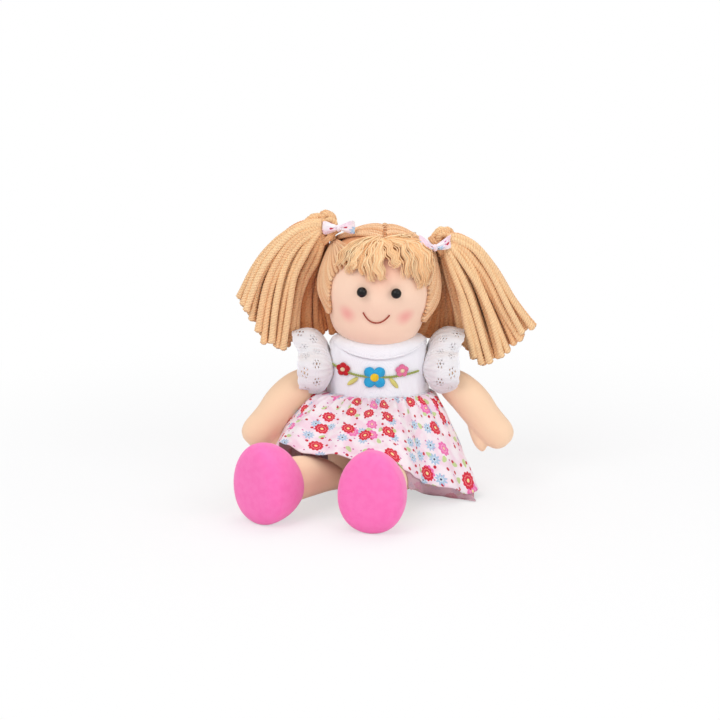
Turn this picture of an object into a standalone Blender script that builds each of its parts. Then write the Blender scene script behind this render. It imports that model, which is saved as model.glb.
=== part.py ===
"""Sitting rag doll: stuffed body, yarn pigtails, cotton dress. Metres, +Z up, the doll faces -Y.

The origin is the middle of the flat patch that the doll sits on. Left and right are the doll's own,
so its left side is at +X.
"""

import math

import bmesh
import bpy
from mathutils import Matrix, Vector

# Clearances and counts of sides
GAP = 0.0003
FLAT_CUT = 0.0005
OVERRUN = 0.03
LIMB_SIDES = 16
BODY_SIDES = 32
SHOE_SIDES = 24
BALL_SIDES = 12
BALL_RINGS = 8
SOCKET_SIDES = 18
SOCKET_RINGS = 11
HEAD_SIDES = 24
HEAD_RINGS = 15
THREAD_BEVEL = 0

# Torso
TORSO_HEIGHT = 0.1025
BELLY_WIDTH = 0.074
BELLY_DEPTH = 0.052
SHOULDER_WIDTH = 0.068
SHOULDER_DEPTH = 0.042
# Height share, width share and depth share of the belly, up to the waist
HIPS_shares = [(0.0, 0.66, 0.62), (0.05, 0.86, 0.84), (0.14, 0.97, 0.96), (0.32, 1.0, 1.0), (0.52, 0.97, 0.97)]
# Height share, width share and depth share of the shoulders, up to the neck
CHEST_shares = [(0.69, 1.0, 1.08), (0.83, 1.01, 1.04), (0.91, 1.01, 1.02), (0.965, 0.96, 0.95), (1.0, 0.78, 0.72)]

# Neck
NECK_RADIUS = 0.011
NECK_BALL_RADIUS = 0.0125
NECK_CENTRE_X = 0.0005
NECK_PIVOT_RISE = 0.0060

# Head
HEAD_WIDTH = 0.082
HEAD_DEPTH = 0.078
HEAD_HEIGHT = 0.084
HEAD_RISE = 0.0440
HEAD_CENTRE_X = 0.0005
HEAD_CENTRE_Y = -0.001
HEAD_TILT = math.radians(5.5)
# Below the middle the head narrows at the cheeks and is fuller at the chin: how much, where and how widely
CHEEK_shares = (-0.065, -0.42, 0.04)
CHIN_shares = (0.25, -0.98, 0.055)
EYE_DIAMETER = 0.007
EYE_SPACING = 0.0219
EYE_RISE = 0.0022
EYE_SHIFT = -0.0006
EYE_LINE_TILT = math.radians(3.4)
MOUTH_WIDTH = 0.0183
MOUTH_SHIFT = -0.0009
MOUTH_DROP = 0.0135
MOUTH_SAG = 0.0068
MOUTH_THREAD_RADIUS = 0.0005

# Hair
CAP_THICKNESS = 0.0040
FACE_OPENING_WIDTH = 0.066
FACE_OPENING_SHIFT = 0.0009
FACE_OPENING_TOP = 0.024
FACE_OPENING_BACK = 0.006
NAPE_DROP = 0.030
CAP_SIDE_DROP = 0.0215
CAP_SIDE_BACK = 0.010
FRINGE_THICKNESS = 0.0036
FRINGE_WIDTH = 0.060
FRINGE_TOP = 0.039
FRINGE_BOTTOM = 0.010
FRINGE_BACK = 0.0175
PARTING_RADIUS = 0.0009
PARTING_START = math.radians(62)
PARTING_END = math.radians(205)
TIE_ANGLE = math.radians(49)
TIE_REACH = 0.0500
TIE_RING_RADIUS = 0.0072
TIE_CORD_RADIUS = 0.0014
BUNDLE_RADIUS = 0.0052
TUFT_WIDTH = 0.017
TUFT_DEPTH = 0.015
TUFT_HEIGHT = 0.021
TUFT_SHIFT_BACK = 0.0091
TUFT_SHIFT_IN = 0.0042
TUFT_SHIFT_UP = 0.0035
PIGTAIL_LENGTH = 0.094
PIGTAIL_ROOT_RADIUS = 0.009
PIGTAIL_ROOT_REACH = 0.0137
PIGTAIL_SET_BACK = 0.010
# Outer edge out and down, inner edge out and down, half depth: shares of the length. Then the set-back's share
PIGTAIL_shares = [
    (0.03, -0.080, -0.02, 0.085, 0.085, 0.0),
    (0.16, -0.045, 0.04, 0.15, 0.098, 0.02),
    (0.30, 0.055, 0.05, 0.33, 0.135, 0.13),
    (0.49, 0.26, 0.06, 0.57, 0.16, 0.47),
    (0.64, 0.47, 0.09, 0.75, 0.17, 0.75),
    (0.655, 0.60, 0.15, 0.88, 0.16, 0.88),
    (0.60, 0.72, 0.24, 0.95, 0.13, 0.95),
    (0.50, 0.84, 0.34, 0.94, 0.05, 0.94),
]
BOW_WIDTH = 0.024
BOW_HEIGHT = 0.0075
BOW_DEPTH = 0.0055
BOW_KNOT_SIZE = 0.0050
BOW_SLANT = math.radians(20)
BOW_RISE = 0.0036
LEFT_BOW_SET_IN = 0.0022
RIGHT_BOW_SET_IN = 0.0031
RIGHT_BOW_SHIFT = 0.009
LEFT_BOW_SHIFT = 0.0035

# Arms, from the shoulder pivot
SHOULDER_HEIGHT_share = 0.8634
SEAM_BALL_RADIUS = 0.0052
ARM_LENGTH = 0.071
ARM_DIAMETER = 0.026
# Along the arm, sideways bend, forward bend, width and depth: shares of the length and of the diameter
ARM_shares = [
    (-0.03, 0.0, 0.0, 0.40, 0.42),
    (0.06, 0.005, 0.0, 0.62, 0.64),
    (0.20, 0.02, 0.007, 0.90, 0.88),
    (0.36, 0.03, 0.017, 1.0, 0.98),
    (0.52, 0.02, 0.027, 1.02, 1.0),
    (0.66, 0.0, 0.037, 0.96, 0.95),
    (0.78, -0.01, 0.040, 0.94, 0.88),
    (0.88, -0.01, 0.043, 0.88, 0.80),
    (0.96, -0.01, 0.043, 0.66, 0.60),
    (1.0, -0.01, 0.043, 0.28, 0.28),
]
RIGHT_ARM_DROP = math.radians(43)
LEFT_ARM_DROP = math.radians(44)
ARM_FORWARD = math.radians(13)
THUMB_LENGTH = 0.021
THUMB_WIDTH = 0.0105
THUMB_START_share = 0.70
THUMB_LEAN = math.radians(26)
THUMB_RISE = 0.0085
THUMB_FORWARD = 0.0020
# Along the thumb, then its width: shares of its length and width
THUMB_shares = [(-0.35, 0.55), (0.0, 0.95), (0.35, 1.0), (0.62, 0.92), (0.85, 0.62), (0.97, 0.25)]

# Legs, from the hip pivot
HIP_TURN = math.radians(60)
HIP_SEAM_HEIGHT = 0.0105
LEG_LENGTH = 0.060
LEG_DIAMETER = 0.031
LEG_RISE = 0.0155
# Along the leg, rise, width and height: shares of the length, of the rise and of the diameter
LEG_shares = [
    (-0.04, 0.0, 0.34, 0.30),
    (0.10, 0.14, 0.60, 0.48),
    (0.24, 0.42, 0.84, 0.72),
    (0.40, 0.72, 0.98, 0.94),
    (0.58, 0.92, 1.02, 1.0),
    (0.78, 1.0, 1.0, 1.0),
    (1.0, 1.0, 0.97, 0.97),
]
RIGHT_LEG_SPLAY = math.radians(-42)
LEFT_LEG_SPLAY = math.radians(-16)
SHOE_DEPTH = 0.026
SOLE_WIDTH = 0.045
SOLE_HEIGHT = 0.056
SOLE_DOME = 0.008
SOLE_SEAM_share = 0.965
# Depth share from the ankle, then how far the outline has grown from the ankle to the sole
SHOE_shares = [(0.0, 0.0), (0.10, 0.32), (0.28, 0.62), (0.52, 0.86), (0.78, 0.985), (1.0, 1.0)]
# Depth share of the dome, then the share of the sole's outline left there
SOLE_shares = [(0.0, 1.0), (0.22, 0.985), (0.5, 0.90), (0.74, 0.74), (0.92, 0.46), (1.0, 0.16)]

# Dress
WAIST_HEIGHT_share = 0.6878
CLOTH_THICKNESS = 0.0012
CLOTH_EASE = 0.0012
WAIST_HEIGHT = TORSO_HEIGHT * WAIST_HEIGHT_share
WAIST_CORD_RADIUS = 0.0009
NECKLINE_RADIUS = 0.0265
NECKLINE_DEPTH_share = 0.81
BINDING_RADIUS = 0.0014
ARMHOLE_RADIUS = 0.0122
BACK_SPLIT = -0.004
BACK_SEAM_Y = 0.004
TAB_WIDTH = 0.010
TAB_HEIGHT = 0.008
TAB_HEIGHT_shares = [0.761, 0.888]
FRILL_REACH = 0.026
FRILL_END_share = 0.5
FRILL_FLARE = 0.0125
FRILL_SWEEP = math.radians(140)
FRILL_WAVE = 0.0022
FRILL_WAVES = 9
FRILL_THICKNESS = 0.0009
FRILL_STEPS = 54
FRILL_BANDS = 2
FRILL_ROOM_share = 1.95
SKIRT_REACH = 0.080
SKIRT_DROP_share = 0.986
SKIRT_DROP = WAIST_HEIGHT * SKIRT_DROP_share
SKIRT_FOLDS = 14
SKIRT_FOLD_DEPTH = 0.0024
SKIRT_SIDES = 70
SKIRT_RINGS = 5
SKIRT_SPREAD_POWER = 0.8
SKIRT_DROP_POWER = 1.25
# Every 30 degrees from +X by way of the back: the hem's reach, then its drop, as shares of the two above
HEM_REACH_shares = [0.84, 0.80, 0.72, 0.66, 0.70, 0.76, 0.78, 1.02, 0.94, 0.84, 0.77, 1.0]
HEM_DROP_shares = [0.98, 0.98, 0.98, 0.98, 0.98, 0.96, 0.78, 0.37, 0.38, 0.41, 0.58, 0.97]

# Embroidery: places on the bodice as shares of the belly's width across and of the torso's height
THREAD_RADIUS = 0.0006
PATCH_THICKNESS = 0.0009
RED_FLOWER_shares = (-0.331, 0.847)
RED_FLOWER_WIDTH = 0.0096
BLUE_FLOWER_shares = (-0.036, 0.795)
BLUE_FLOWER_WIDTH = 0.0166
PINK_FLOWER_shares = (0.220, 0.847)
PINK_FLOWER_WIDTH = 0.0087
FLOWER_CENTRE_share = 0.34
PETAL_DEPTH_share = 0.44
STEM_shares = [(-0.403, 0.867), (-0.230, 0.812), (-0.036, 0.793), (0.189, 0.810), (0.372, 0.837)]
LEAF_LENGTH = 0.0085
LEAF_WIDTH = 0.0026
RIGHT_LEAF_shares = (-0.243, 0.767)
RIGHT_LEAF_LEAN = math.radians(38)
LEFT_LEAF_shares = (0.146, 0.759)
LEFT_LEAF_LEAN = math.radians(-52)

# Colours
SKIN = (0.955, 0.700, 0.520)
YARN = (0.80, 0.45, 0.24)
CAP_YARN = (0.78, 0.46, 0.27)
SHOE_PINK = (0.95, 0.16, 0.45)
WHITE_COTTON = (0.87, 0.87, 0.89)
PRINT_COTTON = (0.87, 0.60, 0.62)
EYE_BLACK = (0.012, 0.010, 0.009)
MOUTH_BROWN = (0.30, 0.09, 0.06)
THREAD_GREEN = (0.28, 0.40, 0.10)
THREAD_RED = (0.62, 0.03, 0.05)
THREAD_BLUE = (0.05, 0.50, 0.80)
THREAD_PINK = (0.85, 0.28, 0.48)
THREAD_YELLOW = (0.90, 0.68, 0.08)
THREAD_PALE = (0.85, 0.74, 0.55)
THREAD_LEAF = (0.76, 0.74, 0.34)

LEFT = 1
RIGHT = -1
FRONT = -1
BACK = 1
SIDE_NAMES = {LEFT: "left", RIGHT: "right"}
ARM_DROPS = {LEFT: LEFT_ARM_DROP, RIGHT: RIGHT_ARM_DROP}
BOW_SHIFTS = {LEFT: LEFT_BOW_SHIFT, RIGHT: RIGHT_BOW_SHIFT}
BOW_SET_INS = {LEFT: LEFT_BOW_SET_IN, RIGHT: RIGHT_BOW_SET_IN}
LEG_SPLAYS = {LEFT: LEFT_LEG_SPLAY, RIGHT: RIGHT_LEG_SPLAY}

X_AXIS = Vector((1, 0, 0))
Y_AXIS = Vector((0, 1, 0))
Z_AXIS = Vector((0, 0, 1))


# Scene and objects

def clear_scene():
    for old in list(bpy.data.objects):
        bpy.data.objects.remove(old)


def cloth_material(name, colour, roughness=0.9):
    found = bpy.data.materials.get(name)
    if found:
        return found
    made = bpy.data.materials.new(name)
    made.use_nodes = True
    shader = made.node_tree.nodes["Principled BSDF"]
    shader.inputs["Base Color"].default_value = (*colour, 1.0)
    shader.inputs["Roughness"].default_value = roughness
    shader.inputs["Metallic"].default_value = 0.0
    return made


def add_object(name, mesh_builder, material, pivot=None):
    """Makes the object from a bmesh, with its origin at the pivot."""
    mesh = bpy.data.meshes.new(name)
    if pivot is not None:
        bmesh.ops.translate(mesh_builder, verts=mesh_builder.verts, vec=-pivot)
    bmesh.ops.recalc_face_normals(mesh_builder, faces=mesh_builder.faces)
    mesh_builder.to_mesh(mesh)
    mesh_builder.free()
    made = bpy.data.objects.new(name, mesh)
    if pivot is not None:
        made.location = pivot
    if material:
        mesh.materials.append(material)
    mesh.shade_smooth()
    bpy.context.scene.collection.objects.link(made)
    return made


def add_cutter(name, mesh_builder):
    cutter = add_object(name + "_cutter", mesh_builder, None)
    cutter.hide_render = True
    cutter.display_type = "WIRE"
    return cutter


def boolean(target, other, operation):
    modifier = target.modifiers.new(other.name, "BOOLEAN")
    modifier.operation = operation
    modifier.object = other


def cut(target, *cutters):
    for cutter in cutters:
        boolean(target, cutter, "DIFFERENCE")


# Soft forms: rings whose long axis joins two edge points

def smooth_rows(rows, steps):
    """Catmull-Rom through rows of vectors, so a few sections give a round form."""
    last = len(rows) - 1
    smooth = []
    for index in range(last):
        before, here, there, after = (rows[min(max(index + k, 0), last)] for k in (-1, 0, 1, 2))
        for step in range(steps):
            t = step / steps
            smooth.append([
                (2 * b + (c - a) * t + (2 * a - 5 * b + 4 * c - d) * t**2 + (3 * b - a - 3 * c + d) * t**3) / 2
                for a, b, c, d in zip(before, here, there, after)
            ])
    smooth.append(list(rows[last]))
    return smooth


def ring(builder, middle, half_width, half_depth, sides):
    return [
        builder.verts.new(middle + half_width * math.cos(turn) + half_depth * math.sin(turn))
        for turn in (2 * math.pi * side / sides for side in range(sides))
    ]


def loft(rows, sides, steps=1, builder=None):
    """A closed skin over rows of (middle, half width vector, half depth vector)."""
    builder = builder or bmesh.new()
    rings = [ring(builder, *row, sides) for row in (smooth_rows(rows, steps) if steps > 1 else rows)]
    for lower, upper in zip(rings, rings[1:]):
        for side in range(sides):
            after = (side + 1) % sides
            builder.faces.new((lower[side], lower[after], upper[after], upper[side]))
    builder.faces.new(list(reversed(rings[0])))
    builder.faces.new(rings[-1])
    return builder


def ellipsoid(middle, half_sizes, turn=None, sides=BALL_SIDES, rings=BALL_RINGS):
    builder = bmesh.new()
    bmesh.ops.create_uvsphere(builder, u_segments=sides, v_segments=rings, radius=1)
    turn = turn or Matrix.Identity(4)
    place = Matrix.Translation(middle) @ turn @ Matrix.Diagonal((*half_sizes, 1))
    bmesh.ops.transform(builder, matrix=place, verts=builder.verts)
    return builder


def ball(middle, radius, sides=SOCKET_SIDES, rings=SOCKET_RINGS):
    return ellipsoid(middle, (radius, radius, radius), sides=sides, rings=rings)


def hoop(middle, turn, radius, cord_radius):
    """A closed ring of round cord, lying across the turned Z axis."""
    steps = 2 * BALL_SIDES
    builder = bmesh.new()
    rings = []
    for step in range(steps):
        angle = 2 * math.pi * step / steps
        out = turn @ Vector((math.cos(angle), math.sin(angle), 0))
        up = turn @ Z_AXIS
        rings.append(ring(builder, middle + out * radius, out * cord_radius, up * cord_radius, BALL_SIDES))
    for first, second in zip(rings, rings[1:] + rings[:1]):
        for k in range(BALL_SIDES):
            after = (k + 1) % BALL_SIDES
            builder.faces.new((first[k], first[after], second[after], second[k]))
    return builder


def box(low, high):
    builder = bmesh.new()
    bmesh.ops.create_cube(builder, size=1)
    middle = (Vector(low) + Vector(high)) / 2
    size = Vector(high) - Vector(low)
    place = Matrix.Translation(middle) @ Matrix.Diagonal((*size, 1))
    bmesh.ops.transform(builder, matrix=place, verts=builder.verts)
    return builder


def thread(name, points, radius, material, closed=False):
    """A round thread along points, as a curve with filled caps."""
    curve = bpy.data.curves.new(name, "CURVE")
    curve.dimensions = "3D"
    curve.bevel_depth = radius
    curve.bevel_resolution = THREAD_BEVEL
    curve.use_fill_caps = not closed
    spline = curve.splines.new("POLY")
    spline.points.add(len(points) - 1)
    for point, place in zip(spline.points, points):
        point.co = (*place, 1)
    spline.use_cyclic_u = closed
    spline.use_smooth = True
    curve.materials.append(material)
    made = bpy.data.objects.new(name, curve)
    bpy.context.scene.collection.objects.link(made)
    return made


def periodic(values, turn):
    """Smooth periodic reading of values that stand at equal steps round a circle."""
    count = len(values)
    place = turn / (2 * math.pi) * count
    first = math.floor(place)
    t = place - first
    a, b, c, d = (values[(first + k) % count] for k in (-1, 0, 1, 2))
    return (2 * b + (c - a) * t + (2 * a - 5 * b + 4 * c - d) * t**2 + (3 * b - a - 3 * c + d) * t**3) / 2


def flatten_below_floor(builder):
    everything = builder.verts[:] + builder.edges[:] + builder.faces[:]
    floor = {"plane_co": Vector(), "plane_no": -Z_AXIS}
    result = bmesh.ops.bisect_plane(builder, geom=everything, clear_outer=True, **floor)
    edges = [item for item in result["geom_cut"] if isinstance(item, bmesh.types.BMEdge)]
    if edges:
        bmesh.ops.contextual_create(builder, geom=edges)


# Torso

def torso_sizes():
    """(height, half width, half depth) at each station, lowest first."""
    hips = [(h * TORSO_HEIGHT, w * BELLY_WIDTH / 2, d * BELLY_DEPTH / 2) for h, w, d in HIPS_shares]
    chest = [(h * TORSO_HEIGHT, w * SHOULDER_WIDTH / 2, d * SHOULDER_DEPTH / 2) for h, w, d in CHEST_shares]
    return hips + chest


def torso_half_sizes(height):
    """Half width and half depth of the torso at a height, read from its stations."""
    sizes = torso_sizes()
    for low, high in zip(sizes, sizes[1:]):
        if height <= high[0]:
            break
    t = min(max((height - low[0]) / (high[0] - low[0]), 0), 1)
    return (low[1] + (high[1] - low[1]) * t, low[2] + (high[2] - low[2]) * t)


def beside_torso(turn, height, out):
    """A point a distance out from the torso's skin, at a turn from +X seen from above."""
    step = FLAT_CUT
    half_width, half_depth = torso_half_sizes(height)
    wider, deeper = torso_half_sizes(height + step)
    slope = (wider - half_width) * math.cos(turn) ** 2 / half_width
    slope += (deeper - half_depth) * math.sin(turn) ** 2 / half_depth
    normal = Vector((math.cos(turn) / half_width, math.sin(turn) / half_depth, -slope / step)).normalized()
    return Vector((half_width * math.cos(turn), half_depth * math.sin(turn), height)) + normal * out


def torso_form(grow=0.0, rise=0.0):
    rows = [
        (Z_AXIS * (height + rise), X_AXIS * (width + grow), Y_AXIS * (depth + grow))
        for height, width, depth in torso_sizes()
    ]
    return loft(rows, BODY_SIDES)


def make_torso():
    builder = torso_form(rise=-FLAT_CUT)
    flatten_below_floor(builder)
    return add_object("torso", builder, cloth_material("skin jersey", SKIN))


# Neck and head

def neck_pivot():
    return Vector((NECK_CENTRE_X, HEAD_CENTRE_Y, TORSO_HEIGHT + NECK_PIVOT_RISE))


def make_neck():
    pivot = neck_pivot()
    bottom = TORSO_HEIGHT - FLAT_CUT + GAP
    meet = math.acos(NECK_RADIUS / NECK_BALL_RADIUS)
    profile = [(NECK_RADIUS, bottom)]
    steps = 8
    for step in range(steps + 1):
        angle = -meet + (math.pi / 2 + meet) * step / (steps + 1)
        profile.append((NECK_BALL_RADIUS * math.cos(angle), pivot.z + NECK_BALL_RADIUS * math.sin(angle)))
    rows = [(Vector((pivot.x, pivot.y, z)), X_AXIS * r, Y_AXIS * r) for r, z in profile]
    return add_object("neck", loft(rows, LIMB_SIDES), cloth_material("skin jersey", SKIN), pivot)


def head_centre():
    return Vector((HEAD_CENTRE_X, HEAD_CENTRE_Y, TORSO_HEIGHT + HEAD_RISE))


def head_frame():
    return Matrix.Translation(head_centre()) @ Matrix.Rotation(HEAD_TILT, 4, "Y")


def head_half_sizes(grow):
    return Vector((HEAD_WIDTH / 2 + grow, HEAD_DEPTH / 2 + grow, HEAD_HEIGHT / 2 + grow))


def cheek_swell(height_share):
    """How much wider the head is at a height, from -1 at the chin to 1 at the crown."""
    return 1 + sum(
        grown * math.exp(-((height_share - middle) ** 2) / spread)
        for grown, middle, spread in (CHEEK_shares, CHIN_shares)
    )


def head_form(grow=0.0, sides=HEAD_SIDES, rings=HEAD_RINGS):
    builder = bmesh.new()
    bmesh.ops.create_uvsphere(builder, u_segments=sides, v_segments=rings, radius=1)
    sizes = head_half_sizes(grow)
    for vert in builder.verts:
        swell = cheek_swell(vert.co.z)
        vert.co = Vector((vert.co.x * sizes.x * swell, vert.co.y * sizes.y * swell, vert.co.z * sizes.z))
    bmesh.ops.transform(builder, matrix=head_frame(), verts=builder.verts)
    return builder


def on_face(across, up, out):
    """A point on the front of the head, in world axes, a distance out from the skin."""
    sizes = head_half_sizes(0)
    share = up / sizes.z
    swell = cheek_swell(share)
    x_share = across / (sizes.x * swell)
    depth = sizes.y * swell * math.sqrt(max(1 - x_share**2 - share**2, 0))
    normal = Vector((across / sizes.x**2, -depth / sizes.y**2, up / sizes.z**2)).normalized()
    return head_frame() @ (Vector((across, -depth, up)) + normal * out)


def make_head():
    head = add_object("head", head_form(), cloth_material("skin jersey", SKIN), neck_pivot())
    cut(head, add_cutter("neck_socket", ball(neck_pivot(), NECK_BALL_RADIUS + 2 * GAP)))


def make_eyes():
    radius = EYE_DIAMETER / 2
    for side in (LEFT, RIGHT):
        reach = side * EYE_SPACING / 2
        rise = EYE_RISE + reach * math.sin(EYE_LINE_TILT)
        builder = ball(on_face(EYE_SHIFT + reach, rise, radius + GAP), radius, BALL_SIDES, BALL_RINGS)
        add_object(SIDE_NAMES[side] + "_eye", builder, cloth_material("bead", EYE_BLACK, 0.15))


def make_mouth():
    out = MOUTH_THREAD_RADIUS + GAP
    steps = 14
    points = []
    for step in range(steps + 1):
        share = 2 * step / steps - 1
        across = MOUTH_SHIFT + share * MOUTH_WIDTH / 2
        points.append(on_face(across, -MOUTH_DROP - MOUTH_SAG * (1 - share**2), out))
    thread("mouth_stitch", points, MOUTH_THREAD_RADIUS, cloth_material("mouth thread", MOUTH_BROWN))


# Hair

def face_cutter():
    """A prism through the front of the cap, round at the top and open below the chin."""
    half = FACE_OPENING_WIDTH / 2
    steps = 16
    turns = [math.pi * k / steps for k in range(steps + 1)]
    outline = [(half * math.cos(turn), FACE_OPENING_TOP * math.sin(turn)) for turn in turns]
    outline += [(-half, -HEAD_HEIGHT), (half, -HEAD_HEIGHT)]
    outline = [(FACE_OPENING_SHIFT + x, z) for x, z in outline]
    builder = bmesh.new()
    verts = [builder.verts.new((x, -HEAD_DEPTH, z)) for x, z in outline]
    face = builder.faces.new(verts)
    extruded = bmesh.ops.extrude_face_region(builder, geom=[face])
    moved = [item for item in extruded["geom"] if isinstance(item, bmesh.types.BMVert)]
    bmesh.ops.translate(builder, verts=moved, vec=Y_AXIS * (HEAD_DEPTH - FACE_OPENING_BACK))
    bmesh.ops.transform(builder, matrix=head_frame(), verts=builder.verts)
    return add_cutter("face_opening", builder)


def head_box(name, low, high):
    builder = box(low, high)
    bmesh.ops.transform(builder, matrix=head_frame(), verts=builder.verts)
    return add_cutter(name, builder)


def make_hair_cap():
    cap = add_object("hair_cap", head_form(GAP + CAP_THICKNESS), cloth_material("cap yarn", CAP_YARN))
    wide = HEAD_WIDTH
    nape = head_box("nape", (-wide, -wide, -wide), (wide, wide, -NAPE_DROP))
    side_drop = head_box("side_drop", (-wide, -wide, -wide), (wide, CAP_SIDE_BACK, -CAP_SIDE_DROP))
    cut(cap, add_cutter("skull", head_form(GAP)), face_cutter(), nape, side_drop)


def make_fringe():
    inner = 2 * GAP + CAP_THICKNESS
    fringe = add_object("fringe", head_form(inner + FRINGE_THICKNESS), cloth_material("fringe yarn", YARN))
    cut(fringe, add_cutter("fringe_inside", head_form(inner)))
    half = FRINGE_WIDTH / 2
    low = (-half, -HEAD_DEPTH, FRINGE_BOTTOM)
    high = (half, -FRINGE_BACK, FRINGE_TOP)
    boolean(fringe, head_box("fringe_block", low, high), "INTERSECT")


def make_parting_seam():
    """Stitching over the middle of the cap, from behind the fringe to the nape."""
    out = 2 * GAP + CAP_THICKNESS + PARTING_RADIUS
    sizes = head_half_sizes(out)
    steps = 20
    points = []
    for step in range(steps + 1):
        angle = PARTING_START + (PARTING_END - PARTING_START) * step / steps
        up = math.sin(angle)
        swell = cheek_swell(up)
        points.append(head_frame() @ Vector((0, -sizes.y * swell * math.cos(angle), sizes.z * up)))
    thread("parting_seam", points, PARTING_RADIUS, cloth_material("cap yarn", CAP_YARN))


def tie_direction(side):
    local = Vector((side * math.sin(TIE_ANGLE), 0, math.cos(TIE_ANGLE)))
    return head_frame().to_3x3() @ local


def pigtail_pivot(side):
    return head_centre() + tie_direction(side) * (TIE_REACH + PIGTAIL_ROOT_REACH - PIGTAIL_ROOT_RADIUS / 2)


def ring_turn(direction):
    return Z_AXIS.rotation_difference(direction).to_matrix().to_4x4()


def make_hair_tie(side):
    centre = head_centre() + tie_direction(side) * TIE_REACH
    turn = ring_turn(tie_direction(side))
    steps = 24
    points = []
    for step in range(steps):
        angle = 2 * math.pi * step / steps
        local = Vector((math.cos(angle), math.sin(angle), 0)) * TIE_RING_RADIUS
        points.append(centre + turn @ local)
    thread(SIDE_NAMES[side] + "_hair_tie", points, TIE_CORD_RADIUS, cloth_material("tie cord", YARN), closed=True)


def make_tuft(side):
    """The bundle through the tie, with its folded ends standing up behind the pigtail."""
    name = SIDE_NAMES[side] + "_hair_tuft"
    direction = tie_direction(side)
    base = head_centre() + direction * (TIE_REACH - OVERRUN / 2)
    tip = pigtail_pivot(side)
    turn = ring_turn(direction).to_3x3()
    rows = [(place, turn @ X_AXIS * BUNDLE_RADIUS, turn @ Y_AXIS * BUNDLE_RADIUS) for place in (base, tip)]
    tuft = add_object(name, loft(rows, LIMB_SIDES), cloth_material("yarn", YARN))
    centre = tip + Vector((-side * TUFT_SHIFT_IN, TUFT_SHIFT_BACK, TUFT_SHIFT_UP))
    fold = ellipsoid(centre, (TUFT_WIDTH / 2, TUFT_DEPTH / 2, TUFT_HEIGHT / 2))
    boolean(tuft, add_cutter(name + "_fold", fold), "UNION")
    seat = add_cutter(name + "_seat", head_form(2 * GAP + CAP_THICKNESS))
    socket = add_cutter(name + "_socket", ball(tip, PIGTAIL_ROOT_RADIUS + GAP))
    groove = hoop(head_centre() + direction * TIE_REACH, turn, TIE_RING_RADIUS, TIE_CORD_RADIUS + GAP)
    cut(tuft, socket, seat, add_cutter(name + "_groove", groove))


def make_pigtail(side):
    pivot = pigtail_pivot(side)
    rows = []
    for outer_out, outer_down, inner_out, inner_down, depth, set_back in PIGTAIL_shares:
        back = Y_AXIS * PIGTAIL_SET_BACK * set_back
        outer = Vector((side * outer_out, 0, -outer_down)) * PIGTAIL_LENGTH
        inner = Vector((side * inner_out, 0, -inner_down)) * PIGTAIL_LENGTH
        rows.append((pivot + (outer + inner) / 2 + back, (outer - inner) / 2, Y_AXIS * depth * PIGTAIL_LENGTH))
    name = SIDE_NAMES[side] + "_pigtail"
    pigtail = add_object(name, loft(rows, LIMB_SIDES, steps=2), cloth_material("yarn", YARN), pivot)
    root = ball(pivot, PIGTAIL_ROOT_RADIUS, BALL_SIDES, BALL_RINGS)
    boolean(pigtail, add_cutter(name + "_root", root), "UNION")
    shoulder = shoulder_pivot(side) + X_AXIS * side * FRILL_REACH / 2
    room = ARMHOLE_RADIUS + FRILL_FLARE + FRILL_WAVE + FRILL_THICKNESS + GAP * 2
    half_sizes = (FRILL_REACH * FRILL_ROOM_share, room, room)
    frill_room = ellipsoid(shoulder, half_sizes, sides=SOCKET_SIDES, rings=SOCKET_RINGS)
    head_side = add_cutter(name + "_head_side", head_form(2 * GAP + CAP_THICKNESS))
    cut(pigtail, head_side, add_cutter(name + "_frill_side", frill_room))


def make_bow(side):
    """Two flat loops and a knot on the front of the tie."""
    name = SIDE_NAMES[side] + "_bow"
    direction = tie_direction(side)
    turn = Matrix.Rotation(side * BOW_SLANT, 4, "Y")
    along = turn.to_3x3() @ X_AXIS
    reach = TIE_REACH + BOW_HEIGHT / 2
    forward = TIE_RING_RADIUS + BOW_DEPTH - BOW_SET_INS[side]
    centre = head_centre() + direction * reach + Vector((-side * BOW_SHIFTS[side], -forward, BOW_RISE))
    knot = ellipsoid(centre, (BOW_KNOT_SIZE / 2, BOW_DEPTH / 2, BOW_KNOT_SIZE / 2), turn, sides=10, rings=6)
    bow = add_object(name, knot, cloth_material("print cotton", PRINT_COTTON))
    for way in (LEFT, RIGHT):
        loop = ellipsoid(
            centre + along * way * BOW_WIDTH / 4,
            (BOW_WIDTH / 4, BOW_DEPTH / 3, BOW_HEIGHT / 2),
            turn,
            sides=12,
            rings=7,
        )
        boolean(bow, add_cutter(name + "_loop_" + SIDE_NAMES[way], loop), "UNION")
    cut(bow, add_cutter(name + "_seat", head_form(2 * GAP + CAP_THICKNESS)))


# Arms

def shoulder_pivot(side):
    place = beside_torso(0, TORSO_HEIGHT * SHOULDER_HEIGHT_share, SEAM_BALL_RADIUS + GAP)
    return Vector((side * place.x, 0, place.z))


def arm_axes(side):
    """Along the arm, across it towards the body's underside, and the way its front faces."""
    drop = ARM_DROPS[side]
    along = Vector((side * math.cos(drop), 0, -math.sin(drop)))
    along = (along - Y_AXIS * math.tan(ARM_FORWARD)).normalized()
    across = Y_AXIS.cross(along).normalized() * side
    return along, across, along.cross(across).normalized()


def arm_rows(side):
    pivot = shoulder_pivot(side)
    along, across, front = arm_axes(side)
    rows = []
    for along_share, bend_share, forward_share, width_share, depth_share in ARM_shares:
        middle = pivot + along * (along_share * ARM_LENGTH + SEAM_BALL_RADIUS)
        middle -= across * bend_share * ARM_LENGTH + Y_AXIS * forward_share * ARM_LENGTH
        rows.append((middle, across * width_share * ARM_DIAMETER / 2, front * depth_share * ARM_DIAMETER / 2))
    return rows


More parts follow.
